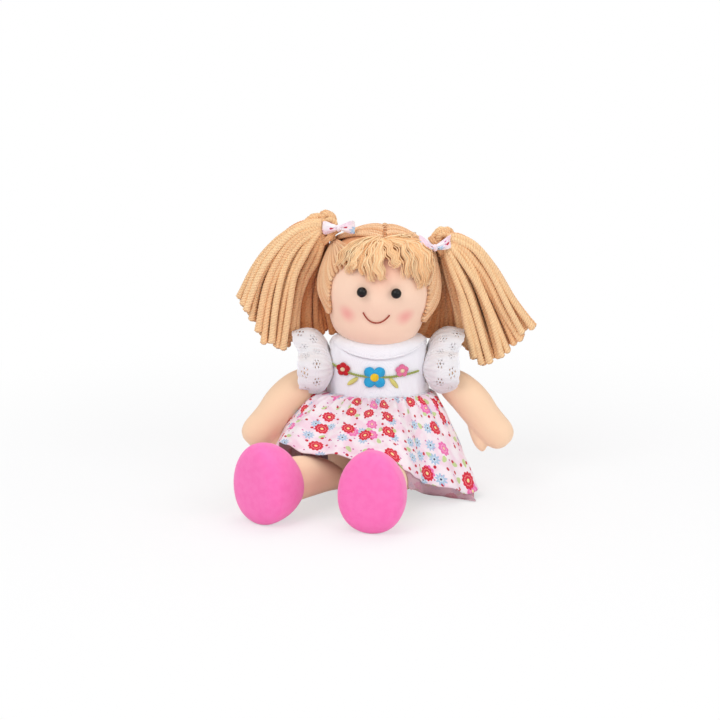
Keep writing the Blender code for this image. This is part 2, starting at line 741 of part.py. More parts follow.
def thumb_form(side):
    pivot = shoulder_pivot(side)
    along, across, _ = arm_axes(side)
    inward = Vector((-side * abs(across.x), 0, across.z)).normalized()
    start = pivot + along * ARM_LENGTH * THUMB_START_share - Y_AXIS * THUMB_FORWARD + inward * THUMB_RISE
    way = (along * math.cos(THUMB_LEAN) + inward * math.sin(THUMB_LEAN)).normalized()
    side_way = way.cross(Y_AXIS).normalized()
    rows = [
        (start + way * share * THUMB_LENGTH, side_way * size * THUMB_WIDTH / 2, Y_AXIS * size * THUMB_WIDTH / 2)
        for share, size in THUMB_shares
    ]
    return loft(rows, BALL_SIDES)


def make_arm(side):
    name = SIDE_NAMES[side] + "_arm"
    pivot = shoulder_pivot(side)
    arm = add_object(name, loft(arm_rows(side), LIMB_SIDES), cloth_material("skin jersey", SKIN), pivot)
    boolean(arm, add_cutter(name + "_thumb", thumb_form(side)), "UNION")
    cut(arm, add_cutter(name + "_socket", ball(pivot, SEAM_BALL_RADIUS + GAP)))


def make_seam_ball(name, pivot):
    """The gathered end of a limb, where its skin is sewn to the body."""
    gathered = ball(pivot, SEAM_BALL_RADIUS, BALL_SIDES, BALL_RINGS)
    add_object(name, gathered, cloth_material("skin jersey", SKIN), pivot)


# Legs and shoes

def hip_pivot(side):
    place = beside_torso(-HIP_TURN, HIP_SEAM_HEIGHT, SEAM_BALL_RADIUS + GAP)
    return Vector((side * place.x, place.y, place.z))


def leg_axes(side):
    along = Matrix.Rotation(LEG_SPLAYS[side], 3, "Z") @ -Y_AXIS
    return along, along.cross(Z_AXIS).normalized()


def leg_middle(side, along_share, rise_share):
    along, _ = leg_axes(side)
    reach = SEAM_BALL_RADIUS + along_share * LEG_LENGTH
    return hip_pivot(side) + along * reach + Z_AXIS * rise_share * LEG_RISE


def make_leg(side):
    _, across = leg_axes(side)
    rows = [
        (leg_middle(side, reach, rise), across * wide * LEG_DIAMETER / 2, Z_AXIS * high * LEG_DIAMETER / 2)
        for reach, rise, wide, high in LEG_shares
    ]
    name = SIDE_NAMES[side] + "_leg"
    pivot = hip_pivot(side)
    leg = add_object(name, loft(rows, LIMB_SIDES, steps=2), cloth_material("skin jersey", SKIN), pivot)
    cut(leg, add_cutter(name + "_socket", ball(pivot, SEAM_BALL_RADIUS + GAP)))


def shoe_row(side, reach, grown, shrink=1.0):
    """One outline of the shoe, a distance along the leg, between the ankle's round and the sole's oval."""
    along, across = leg_axes(side)
    ankle = leg_middle(side, 1.0, 1.0)
    ankle_half = LEG_DIAMETER / 2
    half_width = ankle_half + (SOLE_WIDTH / 2 - ankle_half) * grown
    half_height = ankle_half + (SOLE_HEIGHT / 2 - ankle_half) * grown
    height = ankle.z + (SOLE_HEIGHT / 2 - FLAT_CUT - ankle.z) * grown
    middle = Vector((ankle.x, ankle.y, height)) + along * reach
    return middle, across * half_width * shrink, Z_AXIS * half_height * shrink


def make_shoe(side):
    name = SIDE_NAMES[side]
    pivot = hip_pivot(side)
    felt = cloth_material("shoe cloth", SHOE_PINK)
    rows = [shoe_row(side, GAP + share * SHOE_DEPTH, grown) for share, grown in SHOE_shares]
    upper = loft(rows, SHOE_SIDES)
    flatten_below_floor(upper)
    add_object(name + "_shoe_upper", upper, felt, pivot)
    start = 2 * GAP + SHOE_DEPTH
    rows = [shoe_row(side, start + share * SOLE_DOME, 1.0, left * SOLE_SEAM_share) for share, left in SOLE_shares]
    add_object(name + "_shoe_sole", loft(rows, SHOE_SIDES), felt, pivot)


# Dress

def bodice_shell(name):
    ease = GAP + CLOTH_EASE
    cotton = cloth_material("white cotton", WHITE_COTTON)
    bodice = add_object(name, torso_form(ease + CLOTH_THICKNESS, ease), cotton)
    cut(bodice, add_cutter(name + "_inside", torso_form(ease)))
    return bodice


def armhole_cutter(name, side):
    pivot = shoulder_pivot(side)
    rows = [
        (Vector((side * place, 0, pivot.z)), Z_AXIS * ARMHOLE_RADIUS, Y_AXIS * ARMHOLE_RADIUS)
        for place in (abs(pivot.x) - SEAM_BALL_RADIUS * 3, abs(pivot.x) + OVERRUN)
    ]
    return add_cutter(name + "_armhole_" + SIDE_NAMES[side], loft(rows, LIMB_SIDES + 4))


def neckline_cutter(name):
    centre = neck_pivot()
    half_width = X_AXIS * NECKLINE_RADIUS
    half_depth = Y_AXIS * NECKLINE_RADIUS * NECKLINE_DEPTH_share
    rows = [
        (Vector((centre.x, centre.y, z)), half_width, half_depth)
        for z in (TORSO_HEIGHT - OVERRUN, TORSO_HEIGHT + OVERRUN)
    ]
    return add_cutter(name + "_neckline", loft(rows, LIMB_SIDES + 8))


def make_bodice():
    """The front panel, and two back panels that meet beside the middle, each cut from the same shell."""
    waist = WAIST_HEIGHT + WAIST_CORD_RADIUS + GAP
    reach = SHOULDER_WIDTH
    top = TORSO_HEIGHT + OVERRUN
    low = -OVERRUN
    below = ((-reach, -reach, low), (reach, reach, waist))
    behind = ((-reach, BACK_SEAM_Y - GAP / 2, low), (reach, reach, top))
    ahead = ((-reach, -reach, low), (reach, BACK_SEAM_Y + GAP / 2, top))
    right_half = ((-reach, -reach, low), (BACK_SPLIT, reach, top))
    left_half = ((BACK_SPLIT - GAP, -reach, low), (reach, reach, top))
    pieces = {
        "bodice_front": (below, behind),
        "bodice_back_left": (below, ahead, right_half),
        "bodice_back_right": (below, ahead, left_half),
    }
    for name, blocks in pieces.items():
        panel = bodice_shell(name)
        for index, (start, end) in enumerate(blocks):
            cut(panel, add_cutter(f"{name}_block_{index}", box(start, end)))
        cut(panel, armhole_cutter(name, LEFT), armhole_cutter(name, RIGHT), neckline_cutter(name))


def bodice_point(across, height, out, facing=FRONT):
    """A point on the front or the back of the bodice, a distance out from its cloth."""
    half_width, half_depth = torso_half_sizes(height - CLOTH_EASE - GAP)
    skin = GAP + CLOTH_EASE + CLOTH_THICKNESS
    half_width += skin
    half_depth += skin
    depth = half_depth * math.sqrt(max(1 - (across / half_width) ** 2, 0))
    normal = Vector((across / half_width**2, facing * depth / half_depth**2, 0)).normalized()
    return Vector((across, facing * depth, height)) + normal * out


def make_waist_seam():
    half_width, half_depth = torso_half_sizes(WAIST_HEIGHT)
    out = GAP + CLOTH_EASE + CLOTH_THICKNESS / 2
    half_width += out
    half_depth += out
    turns = [2 * math.pi * step / SKIRT_SIDES for step in range(SKIRT_SIDES)]
    points = [Vector((half_width * math.cos(turn), half_depth * math.sin(turn), WAIST_HEIGHT)) for turn in turns]
    thread("waist_seam", points, WAIST_CORD_RADIUS, cloth_material("print cotton", PRINT_COTTON), closed=True)


def skirt_point(share, turn):
    """A point of the skirt, from 0 at the waist to 1 at the hem, at a turn from +X seen from above."""
    top = WAIST_HEIGHT - WAIST_CORD_RADIUS - GAP
    half_width, half_depth = torso_half_sizes(top)
    out = GAP + CLOTH_EASE + CLOTH_THICKNESS
    outward = Vector((math.cos(turn), math.sin(turn), 0))
    waist = Vector(((half_width + out) * outward.x, (half_depth + out) * outward.y, top))
    reach = periodic(HEM_REACH_shares, turn) * SKIRT_REACH
    hem = outward * reach + Z_AXIS * (WAIST_HEIGHT - periodic(HEM_DROP_shares, turn) * SKIRT_DROP)
    way = hem - waist
    fold = SKIRT_FOLD_DEPTH * share * math.cos(SKIRT_FOLDS * turn)
    flat = Vector((way.x, way.y, 0)) * share ** SKIRT_SPREAD_POWER
    return waist + flat + Z_AXIS * way.z * share ** SKIRT_DROP_POWER + outward * fold


def make_skirt():
    """Gathered cloth from the waist to the hem, whose height changes where it lies over the legs."""
    builder = bmesh.new()
    turns = [2 * math.pi * side / SKIRT_SIDES for side in range(SKIRT_SIDES)]
    rings = [
        [builder.verts.new(skirt_point(level / SKIRT_RINGS, turn)) for turn in turns]
        for level in range(SKIRT_RINGS + 1)
    ]
    for upper, lower in zip(rings, rings[1:]):
        for side in range(SKIRT_SIDES):
            after = (side + 1) % SKIRT_SIDES
            builder.faces.new((upper[side], lower[side], lower[after], upper[after]))
    skirt = add_object("skirt", builder, cloth_material("print cotton", PRINT_COTTON))
    wall = skirt.modifiers.new("wall", "SOLIDIFY")
    wall.thickness = CLOTH_THICKNESS
    wall.offset = 1


def bodice_side(y, z):
    """How far out the bodice's cloth stands at the side, at a depth and a height."""
    ease = GAP + CLOTH_EASE
    half_width, half_depth = torso_half_sizes(z - ease)
    half_width += ease + CLOTH_THICKNESS
    half_depth += ease + CLOTH_THICKNESS
    return half_width * math.sqrt(max(1 - (y / half_depth) ** 2, 0))


def make_frill(side):
    """A gathered strip over the shoulder, sewn round the armhole and standing out in waves."""
    pivot = shoulder_pivot(side)
    inner_radius = ARMHOLE_RADIUS + GAP
    builder = bmesh.new()
    rows = []
    for step in range(FRILL_STEPS + 1):
        turn = FRILL_SWEEP * (2 * step / FRILL_STEPS - 1)
        outward = Vector((0, -math.sin(turn), math.cos(turn)))
        flare = FRILL_FLARE + FRILL_WAVE * math.cos(2 * FRILL_WAVES * turn)
        reach = FRILL_REACH * (FRILL_END_share + (1 - FRILL_END_share) * math.cos(turn / 2) ** 2)
        seam = outward * inner_radius + Z_AXIS * pivot.z
        start = seam + X_AXIS * side * (bodice_side(seam.y, seam.z) + GAP)
        way = outward * flare + X_AXIS * side * reach
        rows.append([builder.verts.new(start + way * band / FRILL_BANDS) for band in range(FRILL_BANDS + 1)])
    for first, second in zip(rows, rows[1:]):
        for band in range(FRILL_BANDS):
            builder.faces.new((first[band], first[band + 1], second[band + 1], second[band]))
    frill = add_object(SIDE_NAMES[side] + "_sleeve_frill", builder, cloth_material("eyelet cotton", WHITE_COTTON))
    wall = frill.modifiers.new("wall", "SOLIDIFY")
    wall.thickness = FRILL_THICKNESS
    wall.offset = 1


def height_on_torso(x, y, grow):
    """The greatest height at which the grown torso still holds the point (x, y)."""
    low = WAIST_HEIGHT
    high = TORSO_HEIGHT
    for _ in range(20):
        middle = (low + high) / 2
        half_width, half_depth = torso_half_sizes(middle)
        if (x / (half_width + grow)) ** 2 + (y / (half_depth + grow)) ** 2 < 1:
            low = middle
        else:
            high = middle
    return low


def make_neck_binding():
    """A round band along the neckline, lying inside the bodice's edge and on the shoulders."""
    centre = neck_pivot()
    room = BINDING_RADIUS + GAP
    reach = NECKLINE_RADIUS - room
    steps = 32
    points = []
    for step in range(steps):
        turn = 2 * math.pi * step / steps
        x = centre.x + reach * math.cos(turn)
        y = centre.y + (NECKLINE_RADIUS * NECKLINE_DEPTH_share - room) * math.sin(turn)
        points.append(Vector((x, y, height_on_torso(x, y, room) + room)))
    thread("neck_binding", points, BINDING_RADIUS, cloth_material("white cotton", WHITE_COTTON), closed=True)


# Embroidery

def patch(name, outline, out, colour, material_name, facing=FRONT):
    """A flat shape laid on the bodice: outline points are (across, height)."""
    builder = bmesh.new()
    middle = (sum(x for x, z in outline) / len(outline), sum(z for x, z in outline) / len(outline))
    layers = []
    for level in (out, out + PATCH_THICKNESS):
        loop = [builder.verts.new(bodice_point(x, z, level, facing)) for x, z in outline]
        layers.append((builder.verts.new(bodice_point(*middle, level, facing)), loop))
    count = len(outline)
    for k in range(count):
        after = (k + 1) % count
        for centre, loop in layers:
            builder.faces.new((centre, loop[k], loop[after]))
        builder.faces.new((layers[0][1][k], layers[0][1][after], layers[1][1][after], layers[1][1][k]))
    add_object(name, builder, cloth_material(material_name, colour))


def bodice_place(shares):
    return BELLY_WIDTH * shares[0], TORSO_HEIGHT * shares[1]


def flower_outline(shares, width, petals, petals_turn):
    across, height = bodice_place(shares)
    points = petals * 8
    outline = []
    for k in range(points):
        turn = 2 * math.pi * k / points
        between = 1 - abs(math.cos(petals * (turn - petals_turn) / 2))
        radius = width / 2 * (1 - PETAL_DEPTH_share * between)
        outline.append((across + radius * math.cos(turn), height + radius * math.sin(turn)))
    return outline


def disc_outline(shares, radius):
    across, height = bodice_place(shares)
    turns = [2 * math.pi * k / BALL_SIDES for k in range(BALL_SIDES)]
    return [(across + radius * math.cos(turn), height + radius * math.sin(turn)) for turn in turns]


def leaf_outline(shares, lean):
    across, height = bodice_place(shares)
    steps = 16
    outline = []
    for k in range(steps):
        turn = 2 * math.pi * k / steps
        x = LEAF_LENGTH / 2 * math.cos(turn)
        z = LEAF_WIDTH / 2 * math.sin(turn)
        turned = (x * math.cos(lean) - z * math.sin(lean), x * math.sin(lean) + z * math.cos(lean))
        outline.append((across + turned[0], height + turned[1]))
    return outline


def make_embroidery():
    over_stem = 2 * GAP + 2 * THREAD_RADIUS
    over_petals = over_stem + GAP + PATCH_THICKNESS
    flowers = (
        ("red_flower", RED_FLOWER_shares, RED_FLOWER_WIDTH, 5, THREAD_RED, THREAD_PALE),
        ("blue_flower", BLUE_FLOWER_shares, BLUE_FLOWER_WIDTH, 4, THREAD_BLUE, THREAD_YELLOW),
        ("pink_flower", PINK_FLOWER_shares, PINK_FLOWER_WIDTH, 5, THREAD_PINK, THREAD_PALE),
    )
    for name, shares, width, petals, colour, centre_colour in flowers:
        outline = flower_outline(shares, width, petals, math.pi / 2 if petals % 2 else math.pi / 4)
        patch(name, outline, over_stem, colour, name + " thread")
        centre = disc_outline(shares, width / 2 * FLOWER_CENTRE_share)
        patch(name + "_centre", centre, over_petals, centre_colour, name + " centre thread")
    places = [bodice_place(shares) for shares in smooth_rows(STEM_shares, 8)]
    points = [bodice_point(x, z, GAP + THREAD_RADIUS) for x, z in places]
    thread("stem", points, THREAD_RADIUS, cloth_material("stem thread", THREAD_GREEN))
    leaves = ((RIGHT, RIGHT_LEAF_shares, RIGHT_LEAF_LEAN), (LEFT, LEFT_LEAF_shares, LEFT_LEAF_LEAN))
    for side, shares, lean in leaves:
        patch(SIDE_NAMES[side] + "_leaf", leaf_outline(shares, lean), GAP, THREAD_LEAF, "leaf thread")


def make_back_tabs():
    """Tape tabs across the two back panels, which hold the dress closed."""
    for name, height_share in zip(("lower_back_tab", "upper_back_tab"), TAB_HEIGHT_shares):
        height = TORSO_HEIGHT * height_share
        right = BACK_SPLIT - TAB_WIDTH / 2
        left = BACK_SPLIT + TAB_WIDTH / 2
        low = height - TAB_HEIGHT / 2
        high = height + TAB_HEIGHT / 2
        outline = [(left, low), (left, high), (right, high), (right, low)]
        patch(name, outline, GAP, WHITE_COTTON, "hook tape", BACK)


def main():
    clear_scene()
    make_torso()
    make_neck()
    make_head()
    make_eyes()
    make_mouth()
    make_hair_cap()
    make_fringe()
    make_parting_seam()
    for side in (LEFT, RIGHT):
        make_hair_tie(side)
        make_tuft(side)
        make_pigtail(side)
        make_bow(side)
        make_seam_ball(SIDE_NAMES[side] + "_shoulder_seam", shoulder_pivot(side))
        make_arm(side)
        make_seam_ball(SIDE_NAMES[side] + "_hip_seam", hip_pivot(side))
        make_leg(side)
        make_shoe(side)
        make_frill(side)
    make_bodice()
    make_neck_binding()
    make_waist_seam()
    make_skirt()
    make_back_tabs()
    make_embroidery()


main()
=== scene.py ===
import math
import random

import bmesh
import bpy
from mathutils import Matrix, Vector, noise


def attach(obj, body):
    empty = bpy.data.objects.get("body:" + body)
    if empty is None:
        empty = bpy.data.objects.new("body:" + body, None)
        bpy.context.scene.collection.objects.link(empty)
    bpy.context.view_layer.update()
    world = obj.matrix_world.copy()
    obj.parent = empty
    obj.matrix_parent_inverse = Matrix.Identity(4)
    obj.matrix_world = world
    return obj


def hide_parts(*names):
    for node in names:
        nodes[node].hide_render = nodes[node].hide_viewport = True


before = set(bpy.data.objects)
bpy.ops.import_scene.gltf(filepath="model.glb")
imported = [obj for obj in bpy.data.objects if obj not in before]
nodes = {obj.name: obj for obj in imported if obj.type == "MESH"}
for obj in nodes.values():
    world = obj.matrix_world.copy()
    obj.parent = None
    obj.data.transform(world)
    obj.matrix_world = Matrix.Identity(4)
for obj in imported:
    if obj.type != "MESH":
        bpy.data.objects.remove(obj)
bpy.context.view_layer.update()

left, right = 1, -1  # the doll's own sides, so left is at +X
sides = (left, right)
sideName = {left: "left", right: "right"}
axisX, axisY, axisZ = Vector((1, 0, 0)), Vector((0, 1, 0)), Vector((0, 0, 1))


# Finishing pieces

def addPiece(name, bm, material, body, node=None):
    mesh = bpy.data.meshes.new(name)
    bm.to_mesh(mesh)
    bm.free()
    mesh.materials.append(material)
    mesh.shade_smooth()
    piece = bpy.data.objects.new(name, mesh)
    bpy.context.scene.collection.objects.link(piece)
    if body:
        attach(piece, body)
    if node:
        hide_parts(node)
    return piece


def addStuffed(name, bm, material, body, nodes):
    piece = addPiece(name, bm, material, body)
    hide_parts(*nodes)


def applyModifiers(piece):
    shape = bpy.context.evaluated_depsgraph_get()
    mesh = bpy.data.meshes.new_from_object(piece.evaluated_get(shape))
    piece.modifiers.clear()
    piece.data = mesh
    mesh.shade_smooth()


def addModifier(piece, kind, **values):
    made = piece.modifiers.new(kind.lower(), kind)
    for key, value in values.items():
        setattr(made, key, value)
    return made


# Routes and forms

def clamp(value, low=0, high=1):
    return min(max(value, low), high)


def stationAt(stations, place):
    for low, high in zip(stations, stations[1:]):
        if place <= high[0]:
            break
    part = clamp((place - low[0]) / (high[0] - low[0]))
    return [a + (b - a) * part for a, b in zip(low[1:], high[1:])]


def turns(count, rounds=1):
    return [2*math.pi * rounds * k / count for k in range(count + 1)]


def smoothRoute(points, steps):
    rows = [list(point) for point in points]
    last = len(rows) - 1
    route = []
    for index in range(last):
        a, b, c, d = (rows[min(max(index + k, 0), last)] for k in (-1, 0, 1, 2))
        for step in range(steps):
            t = step / steps
            route.append([
                (2*q + (r - p)*t + (2*p - 5*q + 4*r - s)*t**2 + (3*q - p - 3*r + s)*t**3) / 2
                for p, q, r, s in zip(a, b, c, d)
            ])
    route.append(rows[-1])
    return route


def evenRoute(points, step):
    spots = [Vector(point[:3]) for point in points]
    lengths = [0.0]
    for first, second in zip(spots, spots[1:]):
        lengths.append(lengths[-1] + (second - first).length)
    count = max(2, round(lengths[-1] / step))
    route, index = [], 0
    for k in range(count + 1):
        reach = lengths[-1] * k / count
        while index < len(spots) - 2 and lengths[index + 1] < reach:
            index += 1
        part = (reach - lengths[index]) / max(lengths[index + 1] - lengths[index], 1e-9)
        route.append(spots[index].lerp(spots[index + 1], min(part, 1)))
    return route


def routeFrames(route):
    frames = []
    side = None
    for index, spot in enumerate(route):
        along = (route[min(index + 1, len(route) - 1)] - route[max(index - 1, 0)]).normalized()
        side = (side or along.orthogonal())
        side = (side - along * side.dot(along)).normalized()
        frames.append((spot, side, along.cross(side)))
    return frames


def twistedPlies(route, plies, radius, pitch):
    frames = routeFrames(route)
    step = (route[1] - route[0]).length
    made = []
    for ply in range(plies):
        path = []
        for index, (spot, side, across) in enumerate(frames):
            turn = 2*math.pi * (ply / plies + index * step / pitch)
            path.append(spot + (side * math.cos(turn) + across * math.sin(turn)) * radius)
        made.append(path)
    return made


def makeGrid(columns, rows):
    bm = bmesh.new()
    bmesh.ops.create_grid(bm, x_segments=columns, y_segments=rows, size=0.5)
    return bm


def mapCloth(bm, place):
    uv = bm.loops.layers.uv.new("cloth")
    for face in bm.faces:
        for loop in face.loops:
            loop[uv].uv = place(loop.vert.co)


def tube(whole, route, radius, around, taper, tone):
    rows = len(route) - 1
    bm = makeGrid(rows, around)
    uv = bm.loops.layers.uv.new("alongThread")
    shade = bm.verts.layers.float.new("strand")
    length = sum((b - a).length for a, b in zip(route, route[1:]))
    for face in bm.faces:
        for loop in face.loops:
            loop[uv].uv = ((loop.vert.co.x + 0.5) * length, loop.vert.co.y + 0.5)
    frames = routeFrames(route)
    for vert in bm.verts:
        row = round((vert.co.x + 0.5) * rows)
        turn = 2*math.pi * round((vert.co.y + 0.5) * around) / around
        spot, side, across = frames[row]
        wide = radius * (taper(row / rows) if taper else 1)
        vert.co = spot + (side * math.cos(turn) + across * math.sin(turn)) * wide
        vert[shade] = tone
    bmesh.ops.remove_doubles(bm, verts=bm.verts, dist=1e-7)
    bmesh.ops.holes_fill(bm, edges=bm.edges, sides=0)
    bmesh.ops.recalc_face_normals(bm, faces=bm.faces)
    mesh = bpy.data.meshes.new("part")
    bm.to_mesh(mesh)
    bm.free()
    whole.from_mesh(mesh)
    bpy.data.meshes.remove(mesh)


def ropes(name, strands, material, body, node=None, around=12):
    # each strand: route, radius at both ends, plies, pitch, start turn, tone, growth at the cut end
    bm = bmesh.new()
    uv = bm.loops.layers.uv.new("alongThread")
    shade = bm.verts.layers.float.new("strand")
    for route, (firstRadius, lastRadius), plies, pitch, start, tone, fray in strands:
        rows = len(route) - 1
        made = bmesh.ops.create_grid(bm, x_segments=rows, y_segments=around, size=0.5)["verts"]
        length = sum((b - a).length for a, b in zip(route, route[1:]))
        faces = {face for vert in made for face in vert.link_faces}
        for face in faces:
            for loop in face.loops:
                loop[uv].uv = ((loop.vert.co.x + 0.5) * length, loop.vert.co.y + 0.5)
        frames = routeFrames(route)
        for vert in made:
            row = round((vert.co.x + 0.5) * rows)
            column = round((vert.co.y + 0.5) * around) % around
            turn = 2*math.pi * column / around
            lobe = abs(math.cos(plies * turn / 2))
            spot, side, across = frames[row]
            twisted = turn + start + 2*math.pi * row / rows * length / pitch
            part = row / rows
            radius = firstRadius + (lastRadius - firstRadius) * part
            swell = 1 + fray * max(0, part - 0.93) / 0.07
            if row in (0, rows):
                swell *= 0.55
                spot = spot + (frames[row][0] - frames[row - 1 if row else 1][0]) * 0.35
            vert.co = spot + (side * math.cos(twisted) + across * math.sin(twisted)) * radius * swell * (0.89
                + 0.11 * lobe)
            vert[shade] = tone
        bmesh.ops.remove_doubles(bm, verts=made, dist=1e-7)
    bmesh.ops.holes_fill(bm, edges=bm.edges, sides=0)
    bmesh.ops.recalc_face_normals(bm, faces=bm.faces)
    return addPiece(name, bm, material, body, node)


def addThreads(name, routes, radius, material, body, around=6, taper=None, node=None):
    whole = bmesh.new()
    draws = random.Random(name)
    for route in routes:
        tube(whole, route, radius, around, taper, draws.random())
    return addPiece(name, whole, material, body, node)


def loft(rows, around, capped=True):
    bm = bmesh.new()
    bmesh.ops.create_circle(bm, segments=around, radius=1, matrix=rows[0])
    ring = bm.edges[:]
    if capped:
        bmesh.ops.contextual_create(bm, geom=ring)
    for before, after in zip(rows, rows[1:]):
        made = bmesh.ops.extrude_edge_only(bm, edges=ring)["geom"]
        bmesh.ops.transform(bm, matrix=after @ before.inverted(),
            verts=[g for g in made if isinstance(g, bmesh.types.BMVert)])
        ring = [g for g in made if isinstance(g, bmesh.types.BMEdge) and g.is_boundary]
        ring = [edge for edge in ring if all(v in made for v in edge.verts)]
    if capped:
        bmesh.ops.contextual_create(bm, geom=ring)
    bmesh.ops.recalc_face_normals(bm, faces=bm.faces)
    return bm


def placing(middle, halfWide, halfDeep):
    up = halfWide.cross(halfDeep).normalized() * 0.001
    return Matrix((
        (halfWide.x, halfDeep.x, up.x, middle.x),
        (halfWide.y, halfDeep.y, up.y, middle.y),
        (halfWide.z, halfDeep.z, up.z, middle.z),
        (0, 0, 0, 1),
    ))


def ball(middle, size, across=24, rings=16):
    bm = bmesh.new()
    half = Vector(size) if hasattr(size, "__len__") else Vector((size, size, size))
    place = Matrix.Translation(middle) @ Matrix.Diagonal((*half, 1))
    bmesh.ops.create_uvsphere(bm, u_segments=across, v_segments=rings, radius=1, matrix=place)
    return bm


def joinForms(*forms):
    whole = bmesh.new()
    for bm in forms:
        mesh = bpy.data.meshes.new("part")
        bm.to_mesh(mesh)
        bm.free()
        whole.from_mesh(mesh)
        bpy.data.meshes.remove(mesh)
    return whole


def fuse(piece, voxel, smoothing=6):
    addModifier(piece, "REMESH", mode="VOXEL", voxel_size=voxel, use_smooth_shade=True)
    addModifier(piece, "SMOOTH", factor=0.5, iterations=smoothing)
    applyModifiers(piece)


# Materials: shared effects are groups, shaders stay in each material

def paint(red, green, blue):
    return (*((c / 12.92 if c <= 0.04045 else ((c + 0.055) / 1.055) ** 2.4) for c in (red/255, green/255, blue/255)),
        1)


def addNode(tree, kind, settings=None, **inputs):
    made = tree.nodes.new("ShaderNode" + kind)
    for key, value in (settings or {}).items():
        setattr(made, key, value)
    for key, value in inputs.items():
        plug(tree, made.inputs[int(key[1:])] if key[0] == "i"
            and key[1:].isdigit() else made.inputs[key.replace("_", " ")], value)
    return made


def plug(tree, socket, value):
    if isinstance(value, bpy.types.NodeSocket):
        tree.links.new(value, socket)
    else:
        socket.default_value = value


def calc(tree, operation, *values):
    made = tree.nodes.new("ShaderNodeMath")
    made.operation = operation
    for socket, value in zip(made.inputs, values):
        plug(tree, socket, value)
    return made.outputs[0]


def times(tree, first, second):
    return calc(tree, "MULTIPLY", first, second)


def plus(tree, first, second):
    return calc(tree, "ADD", first, second)


def ease(tree, value, low, high, toLow=0.0, toHigh=1.0):
    made = addNode(tree, "MapRange", {"interpolation_type": "SMOOTHSTEP"}, Value=value, From_Min=low, From_Max=high,
        To_Min=toLow, To_Max=toHigh)
    return made.outputs[0]


def blendColours(tree, factor, first, second, kind="MIX"):
    made = tree.nodes.new("ShaderNodeMix")
    made.data_type = "RGBA"
    made.blend_type = kind
    made.clamp_factor = True
    plug(tree, made.inputs["Factor"], factor)
    plug(tree, made.inputs[6], first)
    plug(tree, made.inputs[7], second)
    return made.outputs[2]


def makeGroup(name, inputs, outputs):
    group = bpy.data.node_groups.new(name, "ShaderNodeTree")
    for label, kind, value in inputs:
        socket = group.interface.new_socket(label, in_out="INPUT", socket_type="NodeSocket" + kind)
        if value is not None:
            socket.default_value = value
    for label, kind in outputs:
        group.interface.new_socket(label, in_out="OUTPUT", socket_type="NodeSocket" + kind)
    return group, group.nodes.new("NodeGroupInput").outputs, group.nodes.new("NodeGroupOutput").inputs


def useGroup(tree, group, **inputs):
    made = tree.nodes.new("ShaderNodeGroup")
    made.node_tree = group
    for key, value in inputs.items():
        plug(tree, made.inputs[key], value)
    return made.outputs


def startMaterial(name, roughness, sheen=0.0, coat=0.0):
    made = bpy.data.materials.new(name)
    made.use_nodes = True
    tree = made.node_tree
    shader = tree.nodes["Principled BSDF"]
    shader.inputs["Roughness"].default_value = roughness
    shader.inputs["Sheen Weight"].default_value = sheen
    shader.inputs["Sheen Roughness"].default_value = 0.5
    shader.inputs["Coat Weight"].default_value = coat
    shader.inputs["Specular IOR Level"].default_value = 0.3
    return made, tree, shader


def raiseSurface(tree, shader, height, distance, strength=1.0):
    bump = addNode(tree, "Bump", Height=height, Distance=distance, Strength=strength)
    tree.links.new(bump.outputs["Normal"], shader.inputs["Normal"])


def objectPlace(tree):
    return tree.nodes.new("ShaderNodeTexCoord").outputs["Object"]


def threadPlace(tree, name="alongThread"):
    return addNode(tree, "UVMap", {"uv_map": name}).outputs["UV"]


def makeKnitGroup():
    group, given, result = makeGroup("jerseyKnit", [("Place", "Vector", None), ("Stitch", "Float", 2200.0)],
        [("Height", "Float"), ("Fuzz", "Float")])
    split = addNode(group, "SeparateXYZ", i0=given["Place"])
    column = times(group, split.outputs["X"], given["Stitch"])
    row = times(group, split.outputs["Z"], given["Stitch"])
    wale = calc(group, "ABSOLUTE", calc(group, "SINE", times(group, column, math.pi)))
    slant = plus(group, times(group, row, 2*math.pi), times(group, wale, 1.6))
    stitch = times(group, wale, ease(group, calc(group, "SINE", slant), -1.0, 1.0, 0.55, 1.0))
    fuzz = addNode(group, "TexNoise", Vector=given["Place"], Scale=900.0, Detail=3.0, Roughness=0.6)
    plug(group, result["Height"], plus(group, stitch, times(group, fuzz.outputs["Fac"], 0.8)))
    plug(group, result["Fuzz"], fuzz.outputs["Fac"])
    return group


def makeYarnGroup():
    group, given, result = makeGroup(
        "yarnFibres",
        [("Place", "Vector", None), ("Plies", "Float", 3.0), ("Slant", "Float", 0.0), ("Girth", "Float", 0.012)],
        [("Height", "Float"), ("GrooveShade", "Float"), ("Streak", "Float")])
    split = addNode(group, "SeparateXYZ", i0=given["Place"])
    turn = plus(group, times(group, split.outputs["Y"], given["Plies"]),
        times(group, split.outputs["X"], given["Slant"]))
    ply = calc(group, "ABSOLUTE", calc(group, "COSINE", times(group, turn, math.pi)))
    around = times(group, split.outputs["Y"], given["Girth"])
    spot = addNode(group, "CombineXYZ", X=times(group, split.outputs["X"], 0.35), Y=around)
    fray = addNode(group, "TexNoise", Vector=spot.outputs[0], Scale=1500.0, Detail=2.0, Roughness=0.6)
    plug(group, result["Height"], plus(group, ply, times(group, fray.outputs["Fac"], 0.35)))
    # painted shade in the gaps between the plies
    plug(group, result["GrooveShade"], ease(group, ply, 0.45, 0.05))
    plug(group, result["Streak"], ease(group, fray.outputs["Fac"], 0.62, 0.38))
    return group


